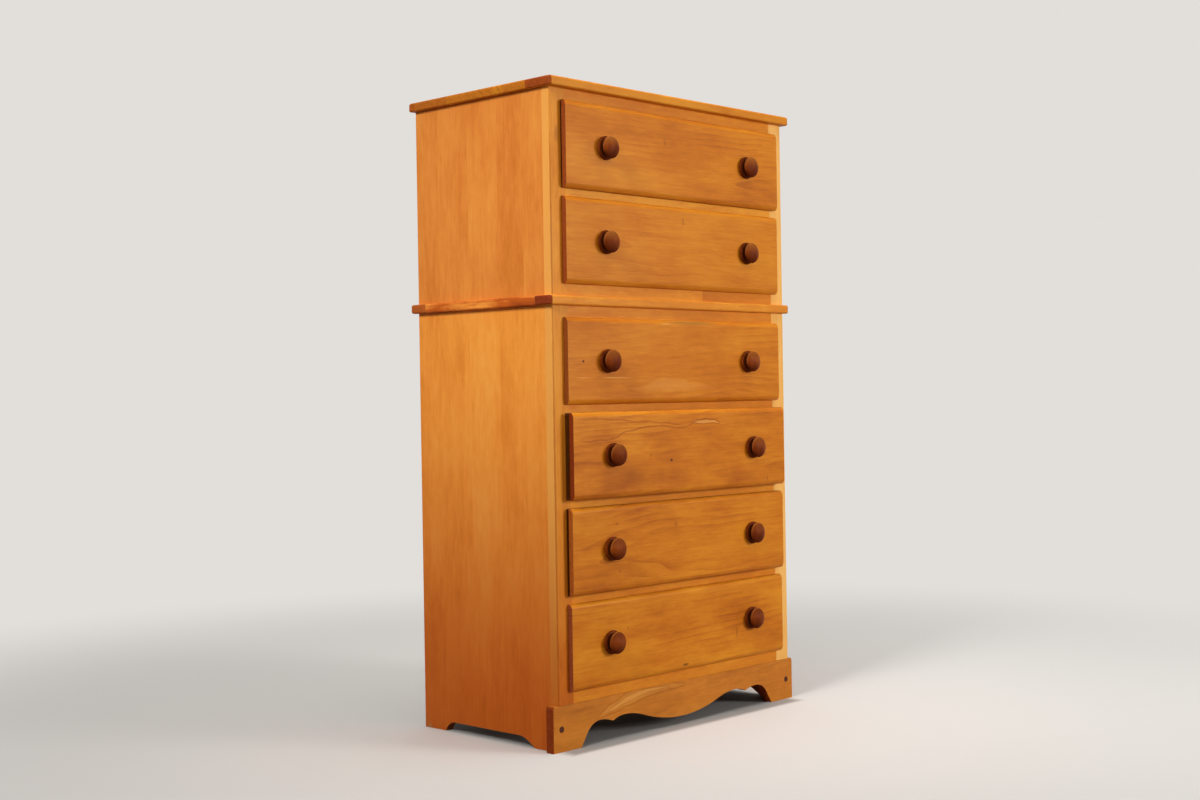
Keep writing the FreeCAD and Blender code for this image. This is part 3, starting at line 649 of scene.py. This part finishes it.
# A mark: its centre, how far it reaches, its strength and its colour.
CHIP = ((-0.3685, FACE + 0.388, 0.005), (0.02, 0.009, 0.008), 0.8, "D9B98A")
SIDE_MARKS = {"lower_left_side": [CHIP]}


def dress(names, material):
    """Give boards their wood."""
    for name in names:
        boards[name].data.materials.clear()
        boards[name].data.materials.append(material)


for tier, (colours, shade) in SIDES.items():
    for hand, pith in SIDE_PITHS.items():
        side = f"{tier}_{hand}_side"
        dress([side], wood(side, "Z", colours, pith, seed=len(side) * 1.7,
                           marks=SIDE_MARKS.get(side, ()),
                           staves=SIDE_STAVES, shade=shade, figure=SIDE_FIGURE))
print("sides dressed")

# %% [markdown]
# ## Wood for the face frames
#
# The stiles are the palest wood of the chest, and the right ones are paler still: partly their own
# wood, partly painted light that makes up for the shade on their narrow visible strip. The lower
# left stile darkens towards the floor, which is painted shade, and the corner of the left ones
# carries a darker line. The rails are a little browner, and one of them is pieced from two
# lengths. The waist frame shows its long grain and its dark ends by turns as it goes round the
# corner.

# %% Face frames and waist
# The right stiles' paler colours are partly painted light.
STILES = {"left": (("EAA136", "DB8922", "BA6214", END), -0.40),
          "right": (("FFC874", "F6B65C", "E09A42", END), 0.40)}
FRAME_PITH = FACE + 0.08
RAIL = ("EFA02C", "DB811C", "BC6612", "A8541C")
WAIST_FRONT = ("EDA230", "D98423", "BC6B17", END)
WAIST_SIDE = ("FFA543", "C05A16", "843109", END)
# Painted shade: the lower left stile darkens towards the floor.
STILE_SHADES = {"lower_left_stile": (0.0, 0.6, 1.0, "DCB084")}
STILE_SIDE = "EEA652"
STILE_MARKS = {
    "upper_left_stile": [((-0.347, FACE, 1.212), (0.009, 0.02, 0.024), 0.5, "A05C1C"),
                         ((-0.3658, FACE, 0.98), (0.0030, 0.01, 0.30), 0.6, "9A541A")],
    "lower_left_stile": [((-0.3658, FACE, 0.46), (0.0030, 0.01, 0.75), 0.6, "9A541A")]}
# Painted shade: the frame under the drawers' lips is darkened, as the lips keep it in shadow.
UNDER_LIP_SHADE, LIP_IN_FRONT, LIP_BEHIND = (0.85, "3A1A08"), 0.003, 0.03
RAIL_TONES = {"upper_middle_rail": 0.25}
RAIL_STAVES = {"upper_bottom_rail": ("X", ((-0.40, 0.45, 0.0), (0.085, 0.62, 0.0)))}


def shade_under_lips(tier):
    """The places on a tier's face frame that the drawers' lips cover, each with its painted shade.
    """
    drawers = range(1, 3) if tier == "upper" else range(3, 7)
    boxes = [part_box(f"drawer_{drawer}_front") for drawer in drawers]
    return [(Vector((low.x, FACE - LIP_IN_FRONT, low.z)),
             Vector((high.x, FACE + LIP_BEHIND, high.z)), *UNDER_LIP_SHADE) for low, high in boxes]


for tier in ("upper", "lower"):
    for hand, (colours, x) in STILES.items():
        stile = f"{tier}_{hand}_stile"
        dress([stile], wood(stile, "Z", colours, (x, FRAME_PITH, 0.5), seed=len(stile) * 2.3,
                            bleached=STILE_SIDE, marks=STILE_MARKS.get(stile, ()),
                            patches=shade_under_lips(tier), shade=STILE_SHADES.get(stile),
                            figure={"cloud": 0.5, "streak": 0.5}))
    rails = [name for name in boards if name.startswith(tier + "_") and "rail" in name]
    for number, name in enumerate(rails):
        one_piece = ("Y", ((FACE - 0.05, RAIL_TONES.get(name, 0.5), 0.0),))
        dress([name], wood(name, "X", RAIL, (0.0, FRAME_PITH, 0.3 + 0.4 * number),
                           seed=3.1 * number + len(tier), patches=shade_under_lips(tier),
                           staves=RAIL_STAVES.get(name, one_piece)))
dress(["waist_front_rail"], wood("waist_front", "X", WAIST_FRONT, (0.0, FACE - 0.06, 0.93),
                                 seed=5.0))
dress(["waist_back_rail"], wood("waist_back", "X", RAIL, (0.0, 0.3, 0.93), seed=6.0))
dress(["waist_side_rails"], wood("waist_sides", "Y", WAIST_SIDE, (0.0, 0.0, 0.80), seed=5.5,
                                 figure={"cloud": 0.9, "broad": 1.2, "streak": 0.6}))
print("face frames and waist dressed")

# %% [markdown]
# ## Wood for the top, the apron and the plugs
#
# The top is glued up from boards of uneven width, and at its ends each board has drunk a
# different amount of stain. The plugs are cut from the face of a darker board, and their grain is
# laid level, like the apron's.

# %% Top, apron and plugs
TOP = ("D88B1C", "C67312", "A8580E", "8E380C")
TOP_STAVES = ("Y", ((FACE - 0.05, 0.40, 0.06), (FACE + 0.052, 0.60, 0.42),
                    (FACE + 0.118, 0.35, 0.62), (FACE + 0.147, 0.45, 0.44),
                    (FACE + 0.290, 0.65, 0.30), (FACE + 0.390, 0.50, 0.18)))
APRON = ("DC8D32", "C67622", "9C5315", "8A3608")
LEAF_TINT, LEAF_EDGE = "E09A44", "A05412"
APRON_LEAVES = [(((-0.26, 0.046), (-0.17, 0.062), (-0.10, 0.074), (0.02, 0.080)),
                 ((-0.26, 0.046), (-0.20, 0.080), (-0.12, 0.096), (0.02, 0.082)),
                 0.010, 0.60, LEAF_TINT, LEAF_EDGE),
                (((-0.235, 0.052), (-0.17, 0.070), (-0.11, 0.081), (-0.03, 0.084)),
                 ((-0.235, 0.052), (-0.19, 0.076), (-0.12, 0.090), (-0.03, 0.085)),
                 0.006, 0.50, LEAF_TINT, LEAF_EDGE)]
PLUG = ("5A2A10", "4A1F0B", "3A1606", "42190A")
dress(["top_panel"], wood("top_boards", "X", TOP, (0.0, 0.02, 1.40), seed=2.0,
                          staves=TOP_STAVES))
dress(["apron"], wood("apron_board", "X", APRON, (0.1, FACE + 0.10, 0.06), seed=9.0,
                      leaves=APRON_LEAVES, figure={"rings": 0.08, "cloud": 0.7}))
dress(["apron_plugs"], wood("plug_wood", "X", PLUG, (0.0, FACE + 0.05, 0.06), seed=4.0))
print("top, apron and plugs dressed")

# %% [markdown]
# ## Drawer fronts
#
# Each front is a board of its own, so each has its own pith, tone and boldness, and small marks:
# a nail hole, a scratch with paler wood beside it, a smudge of old polish and pin knots. Two
# fronts show a pale flame, and one of them has two bold growth lines as well.

# %% Drawer front finishes
FRONT = ("DA8A1C", "C6700F", "A25007")
DARK, SPOT, PALE, GREY = "3A1606", "74300A", "E39E4C", "7E6230"
lip = {drawer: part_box(f"drawer_{drawer}_front")[0].y for drawer in range(1, 7)}
MARKS = {
    1: [((-0.25, lip[1], 1.183), (0.055, 0.02, 0.035), 0.25, "9A5218"),
        ((-0.043, lip[1], 1.222), (0.006, 0.01, 0.010), 0.30, SPOT)],
    2: [((0.0136, lip[2], 1.061), (0.006, 0.01, 0.012), 0.30, SPOT)],
    3: [((-0.2936, lip[3], 0.7654), (0.0045, 0.010, 0.0035), 0.95, DARK),
        ((-0.297, lip[3], 0.733), (0.022, 0.010, 0.0016), 0.6, PALE),
        ((-0.200, lip[3], 0.7325), (0.055, 0.010, 0.0018), 0.7, PALE),
        ((0.035, lip[3], 0.8475), (0.120, 0.012, 0.0050), 0.55, GREY),
        ((-0.045, lip[3], 0.8440), (0.022, 0.012, 0.0025), 0.6, PALE)],
    4: [((-0.0474, lip[4], 0.5601), (0.0045, 0.010, 0.0045), 0.95, DARK),
        ((-0.111, lip[4], 0.573), (0.006, 0.010, 0.004), 0.35, SPOT),
        ((0.274, lip[4], 0.507), (0.004, 0.010, 0.010), 0.35, SPOT)],
    5: [((-0.210, lip[5], 0.4377), (0.006, 0.010, 0.004), 0.35, SPOT),
        ((-0.030, lip[5], 0.425), (0.008, 0.010, 0.008), 0.30, SPOT),
        ((-0.2033, lip[5], 0.3423), (0.005, 0.010, 0.004), 0.45, SPOT)],
    6: [((0.0005, lip[6], 0.1262), (0.013, 0.010, 0.0035), 0.75, DARK),
        ((-0.1765, lip[6], 0.2236), (0.0035, 0.010, 0.005), 0.35, SPOT),
        ((0.1727, lip[6], 0.1744), (0.006, 0.010, 0.016), 0.30, SPOT)]}
# Each vein: its line as (x, z), its half width, its strength and its colour.
VEINS = {4: [(((-0.335, 0.6105), (-0.262, 0.6067), (-0.218, 0.6113), (-0.188, 0.6215),
               (-0.143, 0.6294), (-0.098, 0.6312), (-0.013, 0.6280), (0.013, 0.6315),
               (0.062, 0.6431), (0.125, 0.6376)), 0.0024, 0.60, "92400A"),
             (((-0.335, 0.652), (-0.266, 0.6496), (-0.188, 0.6467), (-0.113, 0.6409),
               (-0.060, 0.6365), (0.0, 0.6330)), 0.0022, 0.50, "92400A")]}
# Each leaf: its lower and upper line, how softly it begins, its strength, colour and edge colour.
LEAVES = {3: [(((-0.172, 0.709), (-0.125, 0.703), (-0.06, 0.699), (0.03, 0.702), (0.12, 0.708)),
               ((-0.172, 0.709), (-0.150, 0.7155), (-0.129, 0.7175), (-0.090, 0.726),
                (-0.051, 0.734), (0.01, 0.729), (0.12, 0.712)), 0.012, 0.27, PALE,
               "A8580E")],
          4: [(((0.020, 0.6345), (0.060, 0.6335), (0.115, 0.6375)),
               ((0.020, 0.6345), (0.055, 0.6435), (0.115, 0.6385)), 0.003, 0.65, PALE,
               "96480C")]}
# Each front: its tone, the boldness of its figure and the colour of its end grain.
FRONT_TONES = {1: (0.48, 1.0, "873D13"), 2: (0.42, 0.9, "873D13"), 3: (0.50, 1.0, "814014"),
               4: (0.54, 1.5, "7C2F0A"), 5: (0.50, 1.3, "9D511A"), 6: (0.47, 1.5, "8D4523")}
BOLD = {"rings": 0.20, "cloud": 0.70, "broad": 0.45, "mottle": 0.22}
for drawer, (tone, boldness, end_colour) in FRONT_TONES.items():
    low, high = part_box(f"drawer_{drawer}_front")
    # The pith lies behind the board, a little below, at or above its middle by turns.
    pith = (0.1 * drawer, high.y + 0.05, (low.z + high.z) / 2 + 0.05 * (drawer % 3 - 1))
    one_piece = ("Z", ((low.z - 0.01, tone, 0.0),))
    front = wood(f"drawer_{drawer}_front", "X", (*FRONT, end_colour), pith, seed=drawer * 3.7,
                 staves=one_piece, marks=MARKS[drawer], veins=VEINS.get(drawer, ()),
                 leaves=LEAVES.get(drawer, ()),
                 figure={"streak": 0.45, **{layer: strength * boldness
                                            for layer, strength in BOLD.items()}})
    dress([f"drawer_{drawer}_front"], front)
print("fronts dressed")

# %% [markdown]
# ## Inside
#
# Nobody varnishes the inside of a drawer. The boxes are bare hardwood, brown with age, their
# bottoms and the backs of the cases are plywood, and the runners are waxed by use.

# %% Bare wood
BARE = ("C9A878", "B58F5E", "946C40", "7C5630")
PLY = ("CDA976", "B98F5E", "976D42", "7C5A36")
DRY, WAXED = 0.6, 0.5
for drawer in range(1, 7):
    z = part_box(f"drawer_{drawer}_front")[0].z
    box_wood = wood(f"drawer_{drawer}_box", "Y", BARE, (0.36, 0.0, z), seed=drawer * 1.3,
                    dullness=DRY)
    dress([f"drawer_{drawer}_left_side", f"drawer_{drawer}_right_side"], box_wood)
    dress([f"drawer_{drawer}_back"], wood(f"drawer_{drawer}_back", "X", BARE, (0.0, 0.25, z),
                                          seed=drawer * 2.9, dullness=DRY))
bottoms = [f"drawer_{drawer}_bottom" for drawer in range(1, 7)]
dress(bottoms, wood("bottom_plywood", "X", PLY, (0.0, 0.1, -0.4), seed=6.0, dullness=DRY))
dress(["upper_back_panel", "lower_back_panel"],
      wood("back_plywood", "Z", PLY, (0.1, 0.5, 0.0), seed=8.0, dullness=DRY))
dress(["upper_runners", "lower_runners"],
      wood("runner_wood", "Y", BARE, (0.4, 0.0, 0.3), seed=7.0, dullness=WAXED))
print("inside dressed")

# %% [markdown]
# ## Turned knobs
#
# A knob is turned on a lathe, and `spin` is Blender's lathe: a few points drawn as a profile go
# once round the axis. A subdivision surface then rounds the beads and the waisted neck.

# %% Lathe
KNOB_PROFILE = ((0.0000, 0.0000), (0.0000, 0.0220), (0.0006, 0.0238), (0.0028, 0.0246),
                (0.0049, 0.0240), (0.0057, 0.0222), (0.0062, 0.0160), (0.0066, 0.0122),
                (0.0076, 0.0104), (0.0092, 0.0099), (0.0112, 0.0102), (0.0125, 0.0112),
                (0.0134, 0.0160), (0.0141, 0.0212), (0.0150, 0.0224), (0.0164, 0.0226),
                (0.0196, 0.0212), (0.0222, 0.0174), (0.0246, 0.0118), (0.0263, 0.0060),
                (0.0270, 0.0018), (0.0270, 0.0000))
KNOB_STEPS = 24


def turn(profile, steps):
    """Spin a profile of (along -Y, radius) points round the Y axis into a closed bmesh."""
    bm = bmesh.new()
    points = [bm.verts.new((radius, -length, 0)) for length, radius in profile]
    edges = [bm.edges.new(pair) for pair in zip(points, points[1:])]
    bmesh.ops.spin(bm, geom=points + edges, cent=(0, 0, 0), axis=(0, 1, 0), dvec=(0, 0, 0),
                   angle=2 * math.pi, steps=steps, use_merge=True, use_duplicate=False)
    bmesh.ops.remove_doubles(bm, verts=bm.verts, dist=1e-6)
    bmesh.ops.recalc_face_normals(bm, faces=bm.faces)
    return bm


print(len(KNOB_PROFILE), "points in the knob's profile")

# %% [markdown]
# ## Dark knobs that hands have known
#
# The stain is dark. The hollow and the underside of the head are darker: painted shade. The top of
# the head is paler, partly rubbed by fingers and partly painted highlight, most of all on the
# upper drawers, and the rim has a painted highlight that is strongest on its upper side.

# %% Knobs
KNOB_STAIN = ("8E4210", "6E2C08", "4E1A04", "602305")
# The neck and the rim lie between two lengths from the face of the front.
NECK, RIM = (0.0060, 0.0136), (0.0130, 0.0170)
HEAD_RADIUS, HOLLOW_RADIUS = 0.0226, 0.0175
# How dark the painted shade is under the head and in the hollow, and the painted highlight on the
# rim, from its underside to its top.
UNDERSIDE_SHADE, HOLLOW_SHADE, RIM_SHEEN = 0.3, 0.75, (0.3, 0.7)
# How far the top of each drawer's knob heads turns paler: partly wear, partly painted highlight.
WEAR_AND_SHEEN_ON_TOP = {1: 0.9, 2: 0.8, 3: 0.6, 4: 0.5, 5: 0.3, 6: 0.15}


def mark_knob_shade_and_wear(bm, top_wear_and_sheen):
    """Mark painted shade under the head and in the hollow, and wear and painted highlight on top.
    """
    grime, worn = (bm.loops.layers.float.new(name) for name in ("grime", "worn"))
    for face in bm.faces:
        for loop in face.loops:
            x, y, z = loop.vert.co
            radius, rise = math.hypot(x, z), z / HEAD_RADIUS
            if -y >= RIM[0]:
                loop[grime] = max(0.0, -UNDERSIDE_SHADE * rise)
                loop[worn] = top_wear_and_sheen * max(0.0, rise)
            if RIM[0] < -y < RIM[1]:
                loop[worn] = min(1.0, max(0.0, RIM_SHEEN[0] + RIM_SHEEN[1] * z / radius))
            if NECK[0] < -y < NECK[1] and radius < HOLLOW_RADIUS:
                loop[grime] = HOLLOW_SHADE


def knob_places(node):
    """Where a drawer's left and right knob stand on its front, as (hand, x, y, z)."""
    low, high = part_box(node)
    radius, z = (high.z - low.z) / 2, (low.z + high.z) / 2
    return [("left", low.x + radius, high.y, z), ("right", high.x - radius, high.y, z)]


stain = wood("knob_stain", "Z", KNOB_STAIN, (0.0, 0.0, 0.3), seed=1.0, dullness=0.50, shine=0.05,
             figure={"rings": 0.2, "cloud": 0.8}, edge_wear_and_sheen=(0.45, "C07A30"))
for drawer, top_wear_and_sheen in WEAR_AND_SHEEN_ON_TOP.items():
    node = f"drawer_{drawer}_knobs"
    for hand, *place in knob_places(node):
        bm = turn(KNOB_PROFILE, KNOB_STEPS)
        mark_knob_shade_and_wear(bm, top_wear_and_sheen)
        bmesh.ops.translate(bm, verts=bm.verts, vec=place)
        name = f"drawer_{drawer}_{hand}_knob"
        knob = link(name, finish_mesh(bm, name), f"drawer_{drawer}", node)
        knob.data.materials.append(stain)
        round_off = knob.modifiers.new("turned smooth", "SUBSURF")
        round_off.levels = round_off.render_levels = 2
print("12 knobs turned")

# %% [markdown]
# ## Screws and pins
#
# A round-headed screw comes through each front from inside the drawer and holds its knob, and
# small pins hold the thin backs in their rebates. The screw is turned like the knob. Its slot is
# cut with two bisecting planes, and the strip of head between them is pushed in.

# %% Knob screws
SCREW_PROFILE = ((-0.0024, 0.0000), (-0.0023, 0.0017), (-0.0017, 0.0034), (-0.0008, 0.0043),
                 (0.0000, 0.0045), (0.0000, 0.0018), (0.0300, 0.0016), (0.0335, 0.0000))
SCREW_STEPS, SLOT_WIDTH, SLOT_DEPTH, FACING_BACK = 20, 0.0010, 0.0011, 0.2
TARNISH_SCALE, TARNISH_RISE, TARNISH_DULLNESS = 420.0, (0.4, 0.7), 0.25


def metal(name, colour, roughness, tarnish):
    """Bare metal, with darker tarnish in soft patches."""
    material, tree, shader = blank(name)
    place = add(tree, "TexCoord").outputs["Object"]
    noise = add(tree, "TexNoise", {"Vector": place, "Scale": TARNISH_SCALE, "Detail": 3.0})
    old = spread(tree, noise.outputs["Fac"], *TARNISH_RISE)
    plug_in(tree, shader, {
        "Base Color": blend_colour(tree, old, paint(colour), paint(tarnish)), "Metallic": 1.0,
        "Roughness": calc(tree, "MULTIPLY_ADD", old, TARNISH_DULLNESS, roughness)})
    return material


def screw(x, y, z):
    """A slotted round-headed screw that points along -Y, its head's seat at y."""
    bm = turn(SCREW_PROFILE, SCREW_STEPS)
    for side in (-1, 1):
        bmesh.ops.bisect_plane(bm, geom=bm.verts[:] + bm.edges[:] + bm.faces[:],
                               plane_co=(side * SLOT_WIDTH / 2, 0, 0), plane_no=(1, 0, 0))
    strip = [face for face in bm.faces if face.normal.y > FACING_BACK
             and abs(face.calc_center_median().x) < SLOT_WIDTH / 2]
    pushed = bmesh.ops.extrude_face_region(bm, geom=strip)
    bmesh.ops.delete(bm, geom=[face for face in strip if face.is_valid], context="FACES_ONLY")
    floor_of_slot = [v for v in pushed["geom"] if isinstance(v, bmesh.types.BMVert)]
    bmesh.ops.translate(bm, verts=floor_of_slot, vec=(0, -SLOT_DEPTH, 0))
    bmesh.ops.recalc_face_normals(bm, faces=bm.faces)
    bmesh.ops.translate(bm, verts=bm.verts, vec=(x, y, z))
    return bm


steel = metal("screw_steel", "A9A49A", 0.32, "5C5046")
for drawer in range(1, 7):
    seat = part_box(f"drawer_{drawer}_front")[1].y
    for hand, x, _, z in knob_places(f"drawer_{drawer}_knobs"):
        name = f"drawer_{drawer}_{hand}_screw"
        mesh = finish_mesh(screw(x, seat, z), name)
        link(name, mesh, f"drawer_{drawer}").data.materials.append(steel)
print("12 knob screws driven")

# %% Back pins
PIN_PROFILE = ((-0.0008, 0.0000), (-0.0007, 0.0016), (-0.0002, 0.0022), (0.0010, 0.0022),
               (0.0012, 0.0000))
PIN_STEPS, PIN_INSET, PIN_GAP = 10, 0.005, 0.10


def pin_places(low, high):
    """Evenly spaced points along the four edges of a back panel, as (x, z)."""
    left, right = low.x + PIN_INSET, high.x - PIN_INSET
    foot, head = low.z + PIN_INSET, high.z - PIN_INSET
    across, up = (max(1, round(span / PIN_GAP)) for span in (right - left, head - foot))
    level = [(left + (right - left) * i / across, z) for z in (foot, head)
             for i in range(across + 1)]
    upright = [(x, foot + (head - foot) * i / up) for x in (left, right) for i in range(1, up)]
    return level + upright


for tier in ("upper", "lower"):
    low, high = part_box(f"{tier}_back_panel")
    pins = bmesh.new()
    one = bpy.data.meshes.new(f"{tier}_pin")
    pin = turn(PIN_PROFILE, PIN_STEPS)
    pin.to_mesh(one)
    pin.free()
    for x, z in pin_places(low, high):
        before = len(pins.verts)
        pins.from_mesh(one)
        pins.verts.ensure_lookup_table()
        bmesh.ops.translate(pins, verts=pins.verts[before:], vec=(x, high.y, z))
    bpy.data.meshes.remove(one)
    name = f"{tier}_back_pins"
    link(name, finish_mesh(pins, name), "case").data.materials.append(steel)
    print(len(pin_places(low, high)), "pins in the", tier, "back")

# %% [markdown]
# ## Studio
#
# A pale floor that fades into a pale backdrop, one large soft lamp to the right in front, one high
# on the left, one overhead for the floor, and an even sky. The lamps are set so that a colour
# renders about as bright as it is written. Rays that the camera sends past the chest see the
# backdrop's own colour, and so do the reflections, so the backdrop adds no light of its own. The
# floor bounces less light than it shows, as a wooden floor would, so that the lower boards keep
# their shade.

# %% Floor and backdrop
BACKDROP = paint("E2DFDB")
FLOOR_SEEN, FLOOR_BOUNCE, FLOOR_SHADOW = "E0DDD8", "8A7B6C", "3A3028"
FLOOR_REACH, FLOOR_STEPS, FADE = 8.0, 64, (0.6, 2.6)
SHADOW_STRENGTH, SHADOW_SOFTNESS = 0.6, 0.10


def seen_directly(tree):
    """1 for rays from the camera, or from it by way of a reflection or glass."""
    path = add(tree, "LightPath").outputs
    mirrored = calc(tree, "MAXIMUM", path["Is Glossy Ray"], path["Is Transmission Ray"])
    return calc(tree, "MAXIMUM", path["Is Camera Ray"], mirrored)


bm = bmesh.new()
bmesh.ops.create_circle(bm, cap_ends=True, segments=FLOOR_STEPS, radius=FLOOR_REACH)
floor_mesh = bpy.data.meshes.new("studio_floor")
bm.to_mesh(floor_mesh)
bm.free()
floor = bpy.data.objects.new("studio_floor", floor_mesh)
bpy.context.collection.objects.link(floor)
floor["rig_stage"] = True
plain, tree, shader = blank("plain_floor")
seen, place = seen_directly(tree), add(tree, "TexCoord").outputs["Object"]
shown = blend_colour(tree, seen, paint(FLOOR_BOUNCE), paint(FLOOR_SEEN))
# A painted shadow darkens the floor under the chest.
under = lay_patch(tree, shown, place, Vector((cad_low.x, cad_low.y, -1)),
                  Vector((cad_high.x, cad_high.y, 1)), SHADOW_STRENGTH, FLOOR_SHADOW,
                  SHADOW_SOFTNESS)
plug_in(tree, shader, {"Base Color": under, "Roughness": 0.7, "Specular IOR Level": 0.2})
fade = calc(tree, "MULTIPLY", spread(tree, length_of(tree, place), *FADE), seen)
glow = add(tree, "Emission", {"Color": BACKDROP, "Strength": 1.0})
faded = add(tree, "MixShader", {0: fade, 1: shader.outputs[0], 2: glow.outputs[0]})
tree.links.new(faded.outputs[0], tree.nodes["Material Output"].inputs["Surface"])
floor.data.materials.append(plain)
print("floor", 2 * FLOOR_REACH, "m across")

# %% Lamps and sky
# Each lamp: its place, the point that it faces, its size, its power and the angle of its beam.
LAMPS = {"front_lamp": ((1.9, -4.0, 1.4), (0, -0.2, 0.6), 1.3, 112, 180),
         "side_lamp": ((-2.9, -0.6, 2.6), (-0.37, 0, 0.95), 1.0, 8.0, 50),
         "top_lamp": ((0.3, -0.4, 3.6), (0.1, -0.1, 0), 2.4, 26, 110)}
SKY_COLOUR, SKY_STRENGTH = "E8E6E3", 0.27


def lamp(name, place, target, size, power, beam):
    """A square soft lamp that faces a point and may be gridded to a narrower beam."""
    light = bpy.data.lights.new(name, "AREA")
    light.size, light.energy, light.spread = size, power, math.radians(beam)
    holder = bpy.data.objects.new(name, light)
    bpy.context.collection.objects.link(holder)
    aim = Vector(target) - Vector(place)
    holder.matrix_world = (Matrix.Translation(place)
                           @ aim.to_track_quat("-Z", "Y").to_matrix().to_4x4())


for name, settings in LAMPS.items():
    lamp(name, *settings)
world = bpy.data.worlds.new("studio")
bpy.context.scene.world = world
world.use_nodes = True
sky = world.node_tree
sky.nodes.clear()
even = add(sky, "Background", {"Color": paint(SKY_COLOUR), "Strength": SKY_STRENGTH})
behind = add(sky, "Background", {"Color": BACKDROP, "Strength": 1.0})
choice = add(sky, "MixShader", {0: seen_directly(sky), 1: even.outputs[0],
                                2: behind.outputs[0]})
sky.links.new(choice.outputs[0], add(sky, "OutputWorld").inputs["Surface"])
print(len(LAMPS), "lamps and an even sky")

# %% [markdown]
# ## The size after dressing
#
# The box of the dressed chest is printed; the imported chest's box was kept at the start. The
# dressed chest must not be bigger than the imported one.

# %% Size after dressing
low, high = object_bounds()
print("dressed from", [round(c, 4) for c in low], "to", [round(c, 4) for c in high])
